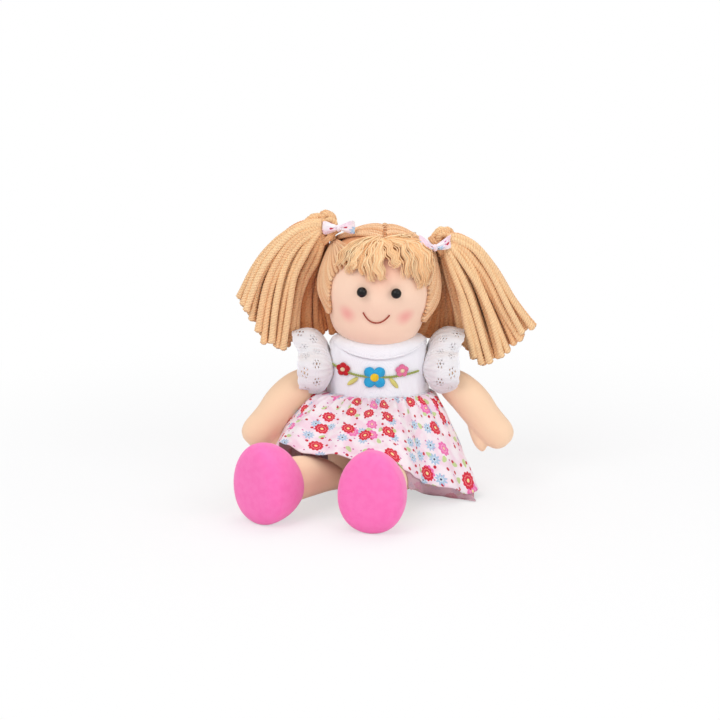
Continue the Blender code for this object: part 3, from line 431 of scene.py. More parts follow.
def makeWeaveGroup():
    group, given, result = makeGroup("plainWeave", [("Place", "Vector", None), ("Threads", "Float", 2600.0)],
        [("Height", "Float"), ("Gap", "Float")])
    split = addNode(group, "SeparateXYZ", i0=given["Place"])
    warp = times(group, split.outputs["X"], given["Threads"])
    weft = times(group, split.outputs["Y"], given["Threads"])
    over = times(group, calc(group, "SINE", times(group, warp, math.pi)),
        calc(group, "SINE", times(group, weft, math.pi)))
    rounded = calc(group, "ABSOLUTE", over)
    slub = addNode(group, "TexNoise", Vector=given["Place"], Scale=700.0, Detail=2.0)
    plug(group, result["Height"], plus(group, rounded, slub.outputs["Fac"]))
    plug(group, result["Gap"], ease(group, rounded, 0.25, 0.0))
    return group


def makeMottleGroup():
    group, given, result = makeGroup("softMottle", [("Place", "Vector", None), ("Size", "Float", 60.0),
        ("Amount", "Float", 0.1)], [("Shade", "Float")])
    cloud = addNode(group, "TexNoise", Vector=given["Place"], Scale=given["Size"], Detail=3.0, Roughness=0.55)
    low = calc(group, "SUBTRACT", 1.0, given["Amount"])
    plug(group, result["Shade"], plus(group, low,
        times(group, times(group, cloud.outputs["Fac"], 2.0), given["Amount"])))
    return group


knit, yarnFibres, weave, mottle = makeKnitGroup(), makeYarnGroup(), makeWeaveGroup(), makeMottleGroup()


def shaded(tree, colour, shade):
    grey = addNode(tree, "CombineColor", i0=shade, i1=shade, i2=shade)
    return blendColours(tree, 1.0, colour, grey.outputs[0], "MULTIPLY")


def finishLook(tree, shader, colour, cloudSize, cloudAmount, height=None, depth=0.0, strength=1.0):
    cloud = useGroup(tree, mottle, Place=objectPlace(tree), Size=cloudSize, Amount=cloudAmount)
    plug(tree, shader.inputs["Base Color"], shaded(tree, colour, cloud["Shade"]))
    if height is not None:
        raiseSurface(tree, shader, height, depth, strength)


def near(tree, place, centre, reach):
    away = addNode(tree, "VectorMath", {"operation": "DISTANCE"}, i0=place, i1=centre)
    return ease(tree, away.outputs["Value"], reach, 0.0)


skinLook = {"skin": (254, 219, 186), "warm": (246, 198, 162), "face": (255, 221, 196), "faceWarm": (247, 196, 174),
    "stitch": 2600.0, "warmth": 0.25}


def makeSkin(name, blushAndShade=(), tones=("skin", "warm")):
    made, tree, shader = startMaterial(name, 0.85, sheen=0.25)
    place = objectPlace(tree)
    knitted = useGroup(tree, knit, Place=place, Stitch=skinLook["stitch"])
    colour = blendColours(tree, times(tree, knitted["Fuzz"], skinLook["warmth"]),
        *(paint(*skinLook[tone]) for tone in tones))
    # cheek spots are painted blush; the forehead patch is painted shade under the fringe
    for centre, reach, tone, strength in blushAndShade:
        colour = blendColours(tree, times(tree, near(tree, place, centre, reach), strength), colour, paint(*tone))
    finishLook(tree, shader, colour, 45.0, 0.03, knitted["Height"], 0.00008, 0.5)
    return made


# dark is the painted shade laid into the grooves between the plies
def makeYarn(name, light, mid, dark, plies=3.0, slant=0.0, girth=0.012, depth=0.0002, grooveShade=0.55):
    made, tree, shader = startMaterial(name, 0.85, sheen=0.2)
    twist = useGroup(tree, yarnFibres, Place=threadPlace(tree), Plies=plies, Slant=slant, Girth=girth)
    # the strand value blends mid to light: random tone on cap, fringe and tufts, painted shade by depth on the pigtails
    tone = addNode(tree, "Attribute", {"attribute_name": "strand"}).outputs["Fac"]
    colour = blendColours(tree, tone, paint(*mid), paint(*light))
    # painted shade: the ply grooves are darkened towards dark, plus random fibre streaks
    grooveShadeAndStreaks = plus(tree, times(tree, twist["GrooveShade"], grooveShade), times(tree, twist["Streak"], 0.16))
    colour = blendColours(tree, grooveShadeAndStreaks, colour, paint(*dark))
    finishLook(tree, shader, colour, 70.0, 0.06, twist["Height"], depth)
    return made


# pigtail mid is the orange of the shaded back and inner strands, painted shade; light is the lit front
pigtailYarn = makeYarn("pigtailYarn", (255, 219, 170), (232, 154, 98), (196, 106, 58), girth=0.015, depth=0.00014,
    grooveShade=0.30)
capYarn = makeYarn("capYarn", (255, 220, 178), (238, 180, 130), (200, 116, 70), girth=0.009, depth=0.00014,
    grooveShade=0.32)
# the backing is darker than the cap yarn: painted shade showing in the gaps between the rows
shadedCapBacking = makeYarn("shadedCapBacking", (240, 184, 134), (226, 162, 112), (196, 118, 72), girth=0.009)
fringeYarn = makeYarn("fringeYarn", (255, 232, 190), (255, 206, 152), (242, 158, 98), 1.0, 0.0, 0.002, 0.00004, 0.16)
mouthThread = makeYarn("mouthThread", (178, 72, 50), (164, 60, 42), (120, 40, 28), 2.0, 900.0, 0.002, 0.00006)


def makeBead():
    made, tree, shader = startMaterial("blackBead", 0.20, coat=0.06)
    finishLook(tree, shader, paint(9, 7, 7), 600.0, 0.25)
    shader.inputs["Specular IOR Level"].default_value = 0.25
    return made


def makeFelt(name, colour, deep):
    made, tree, shader = startMaterial(name, 0.95, sheen=0.3)
    place = objectPlace(tree)
    pile = addNode(tree, "TexNoise", Vector=place, Scale=1500.0, Detail=4.0, Roughness=0.7)
    nap = addNode(tree, "TexNoise", Vector=place, Scale=220.0, Detail=3.0)
    tint = blendColours(tree, ease(tree, nap.outputs["Fac"], 0.35, 0.7), paint(*colour), paint(*deep))
    finishLook(tree, shader, tint, 50.0, 0.02, pile.outputs["Fac"], 0.00010)
    return made


def makeCotton(name, colour, crease, threads=2600.0):
    made, tree, shader = startMaterial(name, 0.9, sheen=0.1)
    woven = useGroup(tree, weave, Place=objectPlace(tree), Threads=threads)
    # painted shade: the gaps between the woven threads are darkened towards the crease colour
    tint = blendColours(tree, times(tree, woven["Gap"], 0.5), paint(*colour), paint(*crease))
    finishLook(tree, shader, tint, 80.0, 0.02, woven["Height"], 0.00006)
    return made


def makeFloss(name, colour, deep):
    # the deep colour is the painted shade in the floss's twist grooves
    return makeYarn(name, colour, colour, deep, 2.0, 1400.0, 0.0014, 0.00006, 0.45)


bead = makeBead()
shoeFelt = makeFelt("shoeFelt", (255, 122, 192), (253, 114, 187))
# the second colour of each cotton is the painted shade in its weave gaps
whiteCotton = makeCotton("whiteCotton", (250, 250, 255), (222, 222, 234))
eyeletCotton = makeCotton("eyeletCotton", (240, 238, 241), (214, 211, 217), threads=2200.0)
hookTape = makeCotton("hookTape", (236, 236, 238), (190, 190, 196), threads=900.0)
floss = {
    "stem": makeFloss("stemFloss", (164, 174, 92), (116, 130, 58)),
    "leaf": makeFloss("leafFloss", (232, 224, 138), (190, 178, 84)),
    "red": makeFloss("redFloss", (214, 30, 44), (140, 12, 22)),
    "blue": makeFloss("blueFloss", (52, 184, 234), (22, 120, 176)),
    "pink": makeFloss("pinkFloss", (244, 134, 176), (204, 86, 132)),
    "pale": makeFloss("paleFloss", (250, 232, 196), (214, 186, 140)),
    "yellow": makeFloss("yellowFloss", (250, 214, 52), (206, 160, 20)),
}
print("materials made")


# Head

head = {
    "middle": (0.0005, -0.001, 0.1465), "half": (0.041, 0.039, 0.042), "tilt": 5.5,
    "swells": [(-0.065, -0.42, 0.04), (0.25, -0.98, 0.055)],
    "eyeSpacing": 0.0219, "eyeRise": 0.0022, "eyeShift": -0.0006, "eyeLine": 3.4, "eyeSize": 0.0072,
    "mouthWidth": 0.0183, "mouthShift": -0.0009, "mouthDrop": 0.0135, "mouthSag": 0.0066, "mouthThread": 0.0005,
    "mouthPly": 0.00024, "mouthTwist": 0.0022, "mouthYarn": 0.00036, "mouthSteps": 44, "gap": 0.0003,
    "eyeSunk": 0.0006,
    # pits under eyes and mouth as depth and reach, cheeks as across and up
    "eyePit": (0.0007, 0.0042), "mouthPit": (0.0004, 0.0028), "cheeks": [(-0.0210, -0.0166), (0.0196, -0.0146)],
    "cheekReach": 0.0095, "cheekTone": (248, 152, 148), "cheekStrength": 0.66,
    # brow: a darker warm patch on the forehead, painted shade under the fringe
    "browUp": 0.018, "browReach": 0.024, "browShadeTone": (246, 176, 150), "browShadeStrength": 0.55,
}
headMiddle = Vector(head["middle"])
headTurn = Matrix.Rotation(math.radians(head["tilt"]), 4, "Y")
headPlace = Matrix.Translation(headMiddle) @ headTurn


def cheekSwell(height):
    return 1 + sum(grown * math.exp(-((height - middle) ** 2) / spread) for grown, middle, spread in head["swells"])


def onHead(direction, out):
    way = direction.normalized()
    half = Vector(head["half"])
    swell = cheekSwell(way.z)
    return headPlace @ Vector((
        way.x * (half.x + out) * swell, way.y * (half.y + out) * swell, way.z * (half.z + out)))


def onFace(across, up, out):
    half = Vector(head["half"])
    share = up / half.z
    swell = cheekSwell(share)
    depth = half.y * swell * math.sqrt(max(1 - (across / (half.x * swell)) ** 2 - share ** 2, 0))
    normal = Vector((across / half.x ** 2, -depth / half.y ** 2, up / half.z ** 2)).normalized()
    return headPlace @ (Vector((across, -depth, up)) + normal * out)


def eyeSpot(side, out):
    reach = side * head["eyeSpacing"] / 2
    return onFace(head["eyeShift"] + reach, head["eyeRise"] + reach * math.sin(math.radians(head["eyeLine"])), out)


def mouthSpot(share, out):
    drop = head["mouthDrop"] + head["mouthSag"] * (1 - abs(share) ** 2.3)
    return onFace(head["mouthShift"] + share * head["mouthWidth"] / 2, -drop, out)


def makeHead():
    eyeSpots = [eyeSpot(side, 0) for side in sides]
    mouthSpots = [mouthSpot(share, 0) for share in (-1, -0.5, 0, 0.5, 1)]
    cheeks = [onFace(across, up, 0) for across, up in head["cheeks"]]
    eyePit, eyeReach = head["eyePit"]
    mouthPit, mouthReach = head["mouthPit"]
    bm = ball(Vector(), 1, 96, 64)
    for vert in bm.verts:
        vert.co = onHead(vert.co, 0)
    for vert in bm.verts:
        inward = (headMiddle - vert.co).normalized()
        pull = sum(eyePit * math.exp(-((vert.co - spot).length / eyeReach) ** 2) for spot in eyeSpots)
        pull += sum(mouthPit * math.exp(-((vert.co - spot).length / mouthReach) ** 2) for spot in mouthSpots)
        vert.co += inward * pull
    # the forehead patch is painted shade under the fringe, the cheek spots are blush
    blushAndShadePatches = [(tuple(onFace(0, head["browUp"], 0)), head["browReach"], head["browShadeTone"], head["browShadeStrength"])]
    blushAndShadePatches += [(tuple(spot), head["cheekReach"], head["cheekTone"], head["cheekStrength"]) for spot in cheeks]
    skin = makeSkin("faceJersey", blushAndShadePatches, tones=("face", "faceWarm"))
    addStuffed("head_skin", bm, skin, "head", ["head"])
    for side in sides:
        spot = eyeSpot(side, head["eyeSize"] / 2 + head["gap"] - head["eyeSunk"])
        form = ball(spot, head["eyeSize"] / 2, 32, 24)
        addPiece(sideName[side] + "_bead_eye", form, bead, "head", sideName[side] + "_eye")
    steps = head["mouthSteps"]
    route = [mouthSpot(2*step / steps - 1, head["mouthThread"] * 0.75) for step in range(steps + 1)]
    plies = twistedPlies(evenRoute(route, 0.0005), 2, head["mouthPly"], head["mouthTwist"])
    addThreads("smile_thread", plies, head["mouthYarn"], mouthThread, "head", node="mouth_stitch")


makeHead()


# Trunk, with stations as height, half width and half depth

trunk = {
    "stations": [
        (0.0, 0.0244, 0.0161), (0.0051, 0.0318, 0.0218), (0.0144, 0.0359, 0.0250), (0.0328, 0.0370, 0.0260),
        (0.0533, 0.0359, 0.0252), (0.0707, 0.0340, 0.0227), (0.0851, 0.0343, 0.0218), (0.0933, 0.0343, 0.0214),
        (0.0989, 0.0326, 0.0200), (0.1025, 0.0265, 0.0151),
    ],
    "around": 64, "sunk": 0.0002, "neckHeight": 0.1025, "neckLength": 0.016, "neckGathers": 16,
    "neckGatherDeep": 0.0005,
    "neckPivot": (0.0005, -0.001, 0.1085), "neckRadius": 0.0110, "neckBall": 0.0125,
}


def trunkRows(grow, rise=0.0, low=0, steps=4):
    stations = smoothRoute([(height + rise, wide + grow, deep + grow) for height, wide,
        deep in trunk["stations"][low:]], steps)
    return [placing(axisZ * height, axisX * wide, axisY * deep) for height, wide, deep in stations]


def makeTrunk(skin):
    form = loft(trunkRows(-trunk["sunk"]), trunk["around"])
    addStuffed("stuffed_body", form, skin, "torso", ["torso"])
    pivot = Vector(trunk["neckPivot"])
    rows = []
    for k in range(9):
        rise = k / 8
        wide = trunk["neckRadius"] + (trunk["neckBall"] - trunk["neckRadius"]) * math.sin(rise * math.pi)
        rows.append(placing(Vector((pivot.x, pivot.y, trunk["neckHeight"] - trunk["sunk"]
            + rise * trunk["neckLength"])), axisX * wide, axisY * wide))
    bm = loft(rows, 48)
    for vert in bm.verts:
        turn = math.atan2(vert.co.y - pivot.y, vert.co.x - pivot.x)
        out = Vector((math.cos(turn), math.sin(turn), 0))
        fold = trunk["neckGatherDeep"] * (0.5 + 0.5 * math.cos(trunk["neckGathers"] * turn))
        vert.co -= out * fold * (1 - abs(vert.co.z - trunk["neckHeight"]) / 0.02)
    addStuffed("gathered_neck", bm, skin, "neck", ["neck"])


limbSkin = makeSkin("limbJersey")
makeTrunk(limbSkin)


# Arms, with stations as reach, sideways bend, forward bend, width and depth, all shares

arm = {
    "length": 0.071, "width": 0.026, "drop": {left: 44,
        right: 43}, "forward": 13, "seamBall": 0.0052, "gathers": 14, "gatherDeep": 0.12,
    "pivot": {left: (0.03984, 0.0, 0.0885), right: (-0.03984, 0.0, 0.0885)},
    "stations": [
        (-0.03, 0.0, 0.0, 0.40, 0.42), (0.06, 0.005, 0.0, 0.62, 0.64), (0.20, 0.02, 0.007, 0.90, 0.88),
        (0.36, 0.03, 0.017, 1.0, 0.98), (0.52, 0.02, 0.027, 1.02, 1.0), (0.66, 0.0, 0.037, 0.96, 0.95),
        (0.78, -0.01, 0.040, 0.94, 0.88), (0.88, -0.01, 0.043, 0.88, 0.80), (0.96, -0.01, 0.043, 0.66, 0.60),
        (1.0, -0.01, 0.043, 0.28, 0.28),
    ],
    "thumbLength": 0.021, "thumbWidth": 0.0105, "thumbStart": 0.70, "thumbLean": 26, "thumbRise": 0.0085,
    "thumbForward": 0.002,
    "thumb": [(-0.35, 0.55), (0.0, 0.95), (0.35, 1.0), (0.62, 0.92), (0.85, 0.62), (0.97, 0.25)],
}


def armAxes(side):
    drop = math.radians(arm["drop"][side])
    along = (Vector((side * math.cos(drop), 0,
        -math.sin(drop))) - axisY * math.tan(math.radians(arm["forward"]))).normalized()
    across = axisY.cross(along).normalized() * side
    return along, across, along.cross(across).normalized()


def armForm(side):
    pivot = Vector(arm["pivot"][side])
    along, across, front = armAxes(side)
    rows = []
    for reach, bend, forward, wide, deep in smoothRoute(arm["stations"], 4):
        middle = pivot + along * (reach * arm["length"] + arm["seamBall"])
        middle -= across * bend * arm["length"] + axisY * forward * arm["length"]
        rows.append(placing(middle, across * wide * arm["width"] / 2, front * deep * arm["width"] / 2))
    return loft(rows, 32)


def thumbForm(side):
    pivot = Vector(arm["pivot"][side])
    along, across = armAxes(side)[:2]
    inward = Vector((-side * abs(across.x), 0, across.z)).normalized()
    start = pivot + along * arm["length"] * arm["thumbStart"] - axisY * arm["thumbForward"] + inward * arm["thumbRise"]
    lean = math.radians(arm["thumbLean"])
    way = (along * math.cos(lean) + inward * math.sin(lean)).normalized()
    sideways = way.cross(axisY).normalized()
    rows = [
        placing(start + way * share * arm["thumbLength"], sideways * size * arm["thumbWidth"] / 2,
            axisY * size * arm["thumbWidth"] / 2)
        for share, size in smoothRoute(arm["thumb"], 3)
    ]
    return loft(rows, 24)


def makeArm(side, skin):
    name = sideName[side]
    piece = addPiece(name + "_stuffed_arm", joinForms(armForm(side), thumbForm(side)), skin, None)
    fuse(piece, 0.0009, 8)
    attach(piece, name + "_arm")
    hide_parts(name + "_arm")


def makeGather(name, pivot, skin):
    bm = ball(Vector(pivot), arm["seamBall"], 48, 24)
    for vert in bm.verts:
        away = vert.co - Vector(pivot)
        turn = math.atan2(away.z, away.y)
        vert.co -= away * arm["gatherDeep"] * (0.5 + 0.5 * math.cos(arm["gathers"] * turn))
    addStuffed(name + "_gather", bm, skin, name + "_seam", [name + "_seam"])


# Legs and shoes, with stations as shares of the length, the rise and the diameter

leg = {
    "length": 0.060, "width": 0.031, "rise": 0.0155, "splay": {left: -16, right: -42},
    "clear": 0.0007, "clearFrom": -0.3, "clearTo": 1.25, "gathers": 9, "gatherDeep": 0.03, "gatherLong": 0.012,
    "pivot": {left: (0.01902, -0.0253, 0.00867), right: (-0.01902, -0.0253, 0.00867)},
    "stations": [
        (-0.04, 0.05, 0.34, 0.30), (0.10, 0.34, 0.52, 0.44), (0.24, 0.60, 0.68, 0.62), (0.40, 0.80, 0.80, 0.77),
        (0.58, 0.92, 0.90, 0.88), (0.78, 1.0, 0.96, 0.96), (1.0, 1.0, 0.97, 0.97),
    ],
}
shoe = {
    "depth": 0.026, "width": 0.045, "height": 0.056, "flat": 0.0005, "floor": 0.0002, "widen": 0.08, "heavy": 0.09,
    # reach from the ankle in depths, growth from ankle to sole, then the share of the outline left
    "stations": [
        (0.0, 0.02, 0.97), (0.03, 0.12, 1.01), (0.10, 0.32, 1.0), (0.28, 0.62, 1.0), (0.52, 0.86, 1.0), (0.78, 0.985,
            1.0),
        (0.96, 1.0, 1.0), (1.05, 1.0, 0.985), (1.14, 1.0, 0.945), (1.22, 1.0, 0.87), (1.29, 1.0, 0.74), (1.33, 1.0,
            0.56),
        (1.35, 1.0, 0.34), (1.36, 1.0, 0.12),
    ],
}


def legAxes(side):
    along = Matrix.Rotation(math.radians(leg["splay"][side]), 3, "Z") @ -axisY
    return along, along.cross(axisZ).normalized()


def legMiddle(side, reach, rise):
    along = legAxes(side)[0]
    return Vector(leg["pivot"][side]) + along * (arm["seamBall"] + reach * leg["length"]) + axisZ * rise * leg["rise"]


def clearOfLegs(spot):
    gap = leg["clear"]
    for side in sides:
        along, across = legAxes(side)
        start = Vector(leg["pivot"][side])
        reach = ((spot - start).dot(along) - arm["seamBall"]) / leg["length"]
        if not leg["clearFrom"] < reach < leg["clearTo"]:
            continue
        rise, wide, tall = stationAt(leg["stations"], reach)
        middle = legMiddle(side, reach, rise)
        x = (spot - middle).dot(across) / (wide * leg["width"] / 2 + gap)
        z = (spot.z - middle.z) / (tall * leg["width"] / 2 + gap)
        away = math.hypot(x, z)
        if away < 1:
            away = max(away, 0.05)
            spot = spot + (spot - middle - along * (spot - middle).dot(along)) * (1 / away - 1)
    return spot


def makeLeg(side, skin):
    name = sideName[side]
    along, across = legAxes(side)
    rows = [
        placing(legMiddle(side, reach, rise), across * wide * leg["width"] / 2, axisZ * high * leg["width"] / 2)
        for reach, rise, wide, high in smoothRoute(leg["stations"] + [(1.1, 1.0, 0.9, 0.9)], 4)
    ]
    bm = loft(rows, 48)
    start = legMiddle(side, 0, 0)
    for vert in bm.verts:
        reach = (vert.co - start).dot(along)
        turn = math.atan2((vert.co - start).z - leg["rise"], (vert.co - start).dot(across))
        fold = leg["gatherDeep"] * math.cos(leg["gathers"] * turn) * math.exp(-max(reach, 0) / leg["gatherLong"])
        vert.co -= (vert.co - legMiddle(side, reach / leg["length"], 1)) * fold
    addStuffed(name + "_stuffed_leg", bm, skin, name + "_leg", [name + "_leg"])


def shoePlace(side, reach, grown, kept):
    along, across = legAxes(side)
    ankle = legMiddle(side, 1.0, 1.0)
    half = leg["width"] / 2
    wide = half + (shoe["width"] / 2 - half) * grown
    high = half + (shoe["height"] / 2 - half) * grown
    middle = Vector((ankle.x, ankle.y, ankle.z + (shoe["height"] / 2 - shoe["flat"] - ankle.z) * grown))
    return placing(middle + along * reach * shoe["depth"], across * wide * kept, axisZ * high * kept)


def makeShoe(side):
    name = sideName[side]
    rows = [shoePlace(side, *row) for row in smoothRoute(shoe["stations"], 3)]
    bm = loft(rows, 72)
    across = legAxes(side)[1]
    middle = legMiddle(side, 1.0, 1.0)
    half = shoe["height"] / 2
    for vert in bm.verts:
        down = (half - vert.co.z) / half
        away = (vert.co - middle).dot(across)
        vert.co += across * away * (shoe["widen"] * down + shoe["heavy"] * max(down, 0) ** 2)
        vert.co.z = max(vert.co.z, shoe["floor"])
    nodes = [name + "_shoe_upper", name + "_shoe_sole"]
    addStuffed(name + "_cloth_shoe", bm, shoeFelt, name + "_leg", nodes)


for side in sides:
    makeArm(side, limbSkin)
    makeGather(sideName[side] + "_shoulder", arm["pivot"][side], limbSkin)
    makeLeg(side, limbSkin)
    makeGather(sideName[side] + "_hip", leg["pivot"][side], limbSkin)
    makeShoe(side)
print("body, head, limbs and shoes made")


# Hair: a cap of fine yarn laid side by side, from the parting and the hairline to the ties

cap = {
    "base": 0.0010, "yarnOut": 0.0023, "yarn": (0.00165,
        0.0008), "pitch": 0.0052, "partingFrom": 56, "partingTo": 225,
    "openingHalf": 0.0336, "openingTop": 0.024, "openingLow": -0.0195, "napeLow": -0.0300, "tieAngle": 49,
    "tieReach": 0.0500,
    "partingRows": 34, "faceRows": 17, "napeRows": 17, "rowStep": 0.10, "stopShort": 4, "lift": 0.0003,
    "heap": (0.0006, 0.0030), "tuck": 0.0012, "backing": 0.0012, "seamStitches": 27, "seamStart": 4,
    "seamThread": 0.00045,
    # one stitch over the parting, as places across and out
    "stitch": ((-0.05, -0.0004), (-0.025, 0.0007), (0.0, 0.0010), (0.025, 0.0007), (0.05, -0.0004)),
}
threadStep = 0.0008


def tieWay(side):
    angle = math.radians(cap["tieAngle"])
    return Vector((side * math.sin(angle), 0, math.cos(angle)))


def crownWay(side, degrees):
    angle = math.radians(degrees)
    return Vector((side, -math.cos(angle), math.sin(angle)))


def faceEdge(side, part):
    half = Vector(head["half"])
    if part < 0.6:
        turn = math.radians(90) * (1 - part / 0.6)
        x, z = cap["openingHalf"] * math.cos(turn), cap["openingTop"] * math.sin(turn)
    else:
        x, z = cap["openingHalf"], cap["openingLow"] * (part - 0.6) / 0.4
    x, z = x / half.x, z / half.z
    return Vector((side * x, -math.sqrt(max(1 - x*x - z*z, 0.02)), z))


def capStarts(side):
    starts = []
    for k in range(cap["partingRows"]):
        turn = cap["partingFrom"] + (cap["partingTo"] - cap["partingFrom"]) * k / (cap["partingRows"] - 1)
        starts.append(crownWay(side * 0.02, turn))
    for k in range(cap["faceRows"]):
        starts.append(faceEdge(side, 0.15 + 0.85 * k / (cap["faceRows"] - 1)))
    last = starts[-1]
    nape = crownWay(side * 0.02, cap["partingTo"])
    for k in range(1, cap["napeRows"]):
        part = k / cap["napeRows"]
        turn = math.atan2(last.y, abs(last.x)) * (1 - part) + math.radians(90) * part
        z = last.z + (nape.z - last.z) * part
        flat = math.sqrt(max(1 - z*z, 0))
        starts.append(Vector((side * flat * math.cos(turn), flat * math.sin(turn), z)))
    return starts


def capRoute(start, side, draws):
    tie = tieWay(side)
    start = start.normalized()
    angle = start.angle(tie)
    axis = start.cross(tie).normalized()
    reach = angle - math.radians(cap["stopShort"])
    route = []
    steps = max(5, round(angle / cap["rowStep"]))
    lift, heap = draws.uniform(-cap["lift"], cap["lift"]), draws.uniform(*cap["heap"])
    for k in range(steps + 1):
        part = k / steps
        way = Matrix.Rotation(reach * part, 3, axis) @ start
        out = cap["yarnOut"] + lift + heap * part ** 5 - cap["tuck"] * (1 - part) ** 8
        route.append(onHead(way, out))
    return evenRoute(smoothRoute(route, 2), threadStep)


def makeCap():
    bm = ball(Vector(), 1, 96, 64)
    half = Vector(head["half"])
    gone = []
    for vert in bm.verts:
        way = vert.co.copy()
        x, z = way.x * half.x, way.z * half.z
        inFace = way.y < 0 and abs(x) < cap["openingHalf"]
        inFace = inFace and (z < 0 or (x / cap["openingHalf"])**2 + (z / cap["openingTop"])**2 < 1)
        low = cap["openingLow"] + (cap["napeLow"] - cap["openingLow"]) * clamp(way.y * 1.5 + 0.2)
        if inFace or z < low:
            gone.append(vert)
        vert.co = onHead(way, cap["base"])
    bmesh.ops.delete(bm, geom=gone, context="VERTS")
    # a darker shell under the rows, painted shade between them
    base = addPiece("cap_backing", bm, shadedCapBacking, "head")
    addModifier(base, "SOLIDIFY", thickness=cap["backing"], offset=-1)
    draws = random.Random(3)
    for side in sides:
        strands = [
            (capRoute(start, side, draws), cap["yarn"], 3, cap["pitch"] * draws.uniform(0.92, 1.08),
                draws.uniform(0, 6), draws.random(), 0)
            for start in capStarts(side)
        ]
        ropes(sideName[side] + "_cap_yarn", strands, capYarn, "head",
            "hair_cap" if side == left else None)
    seam = []
    first, last = cap["partingFrom"] + cap["seamStart"], cap["partingTo"]
    for k in range(cap["seamStitches"]):
        turn = first + (last - first) * k / (cap["seamStitches"] - 1)
        seam.append([onHead(crownWay(x, turn), cap["yarnOut"] + out) for x, out in cap["stitch"]])
    addThreads("parting_stitches", seam, cap["seamThread"], capYarn, "head", node="parting_seam")


makeCap()


# Fringe: brushed locks from the crown, as places across and up from the middle of the head, in metres, and how far
# the tip lies out from the skin

fringe = {
    "locks": [
        ([(-0.0052, 0.0341), (-0.0143, 0.0306), (-0.0225, 0.0237), (-0.0270, 0.0149)], 0.0046),
        ([(-0.0048, 0.0340), (-0.0129, 0.0285), (-0.0177, 0.0201), (-0.0215, 0.0118)], 0.0026),
        ([(-0.0042, 0.0337), (-0.0091, 0.0284), (-0.0121, 0.0209), (-0.0118, 0.0122)], 0.0022),
        ([(-0.0040, 0.0340), (-0.0110, 0.0291), (-0.0155, 0.0205), (-0.0170, 0.0149)], 0.0040),
        ([(-0.0036, 0.0337), (-0.0059, 0.0277), (-0.0076, 0.0190), (-0.0052, 0.0091)], 0.0022),
        ([(-0.0027, 0.0335), (-0.0030, 0.0268), (-0.0030, 0.0173), (0.0010, 0.0104)], 0.0024),
        ([(-0.0014, 0.0339), (0.0041, 0.0279), (0.0077, 0.0223), (0.0092, 0.0186)], 0.0044),
        ([(0.0010, 0.0341), (0.0065, 0.0349), (0.0122, 0.0351), (0.0183, 0.0335)], 0.0046),
        ([(0.0010, 0.0340), (0.0101, 0.0315), (0.0151, 0.0237), (0.0174, 0.0124)], 0.0026),
        ([(0.0023, 0.0341), (0.0151, 0.0322), (0.0209, 0.0238), (0.0239, 0.0112)], 0.0030),
        ([(0.0035, 0.0344), (0.0184, 0.0311), (0.0248, 0.0227), (0.0294, 0.0073)], 0.0040),
        ([(0.0028, 0.0345), (0.0190, 0.0318), (0.0268, 0.0248), (0.0306, 0.0148)], 0.0046),
        ([(0.0030, 0.0345), (0.0165, 0.0294), (0.0225, 0.0202), (0.0262, 0.0060)], 0.0034),
    ],
    "fibres": 40, "fibre": 0.00046, "spread": (0.0014, 0.0027, 0.0034, 0.0022), "lift": 0.0044, "arch": 0.0016,
    "crimp": 0.0007, "crimpTurns": 3.5, "thick": 0.0016, "least": 0.0012,
}


def faceSpot(across, up, out):
    half = Vector(head["half"])
    reach = Vector((across / half.x, 0, up / half.z))
    if reach.length > 0.995:
        reach *= 0.995 / reach.length
    return onHead(Vector((reach.x, -math.sqrt(1 - reach.length_squared), reach.z)), out)


def makeFringe():
    draws = random.Random(11)
    routes = []
    for lock, tipOut in fringe["locks"]:
        phase = draws.uniform(0, 6.3)
        for _ in range(fringe["fibres"]):
            across, deep = draws.gauss(0, 0.5), draws.gauss(0, 0.5)
            short = draws.uniform(0.78, 1.03)
            places = []
            for index, (x, z) in enumerate(lock):
                spread, part = fringe["spread"][index], index / (len(lock) - 1)
                out = fringe["lift"] + (tipOut - fringe["lift"]) * part ** 2 + fringe["arch"] * math.sin(math.pi * part)
                places.append([x + across * spread, z + across * spread * 0.3, out + deep * fringe["thick"]])
            places[3] = [b + (t - b) * short for t, b in zip(places[3], places[2])]
            path = []
            route = smoothRoute(places, 6)
            for j, (x, z, out) in enumerate(route):
                wobble = fringe["crimp"] * math.sin(phase + across
                    + j / len(route) * 2*math.pi * fringe["crimpTurns"])
                path.append(faceSpot(x + wobble, z + wobble * 0.4, max(out, fringe["least"])))
            routes.append(path)
    taper = lambda part: 1 - 0.7 * part ** 3
    addThreads("brushed_fringe", routes, fringe["fibre"], fringeYarn, "head", 5, taper, "fringe")


makeFringe()


# Pigtails: guides as places out from the head, up from the pivot and back, in millimetres, outermost first

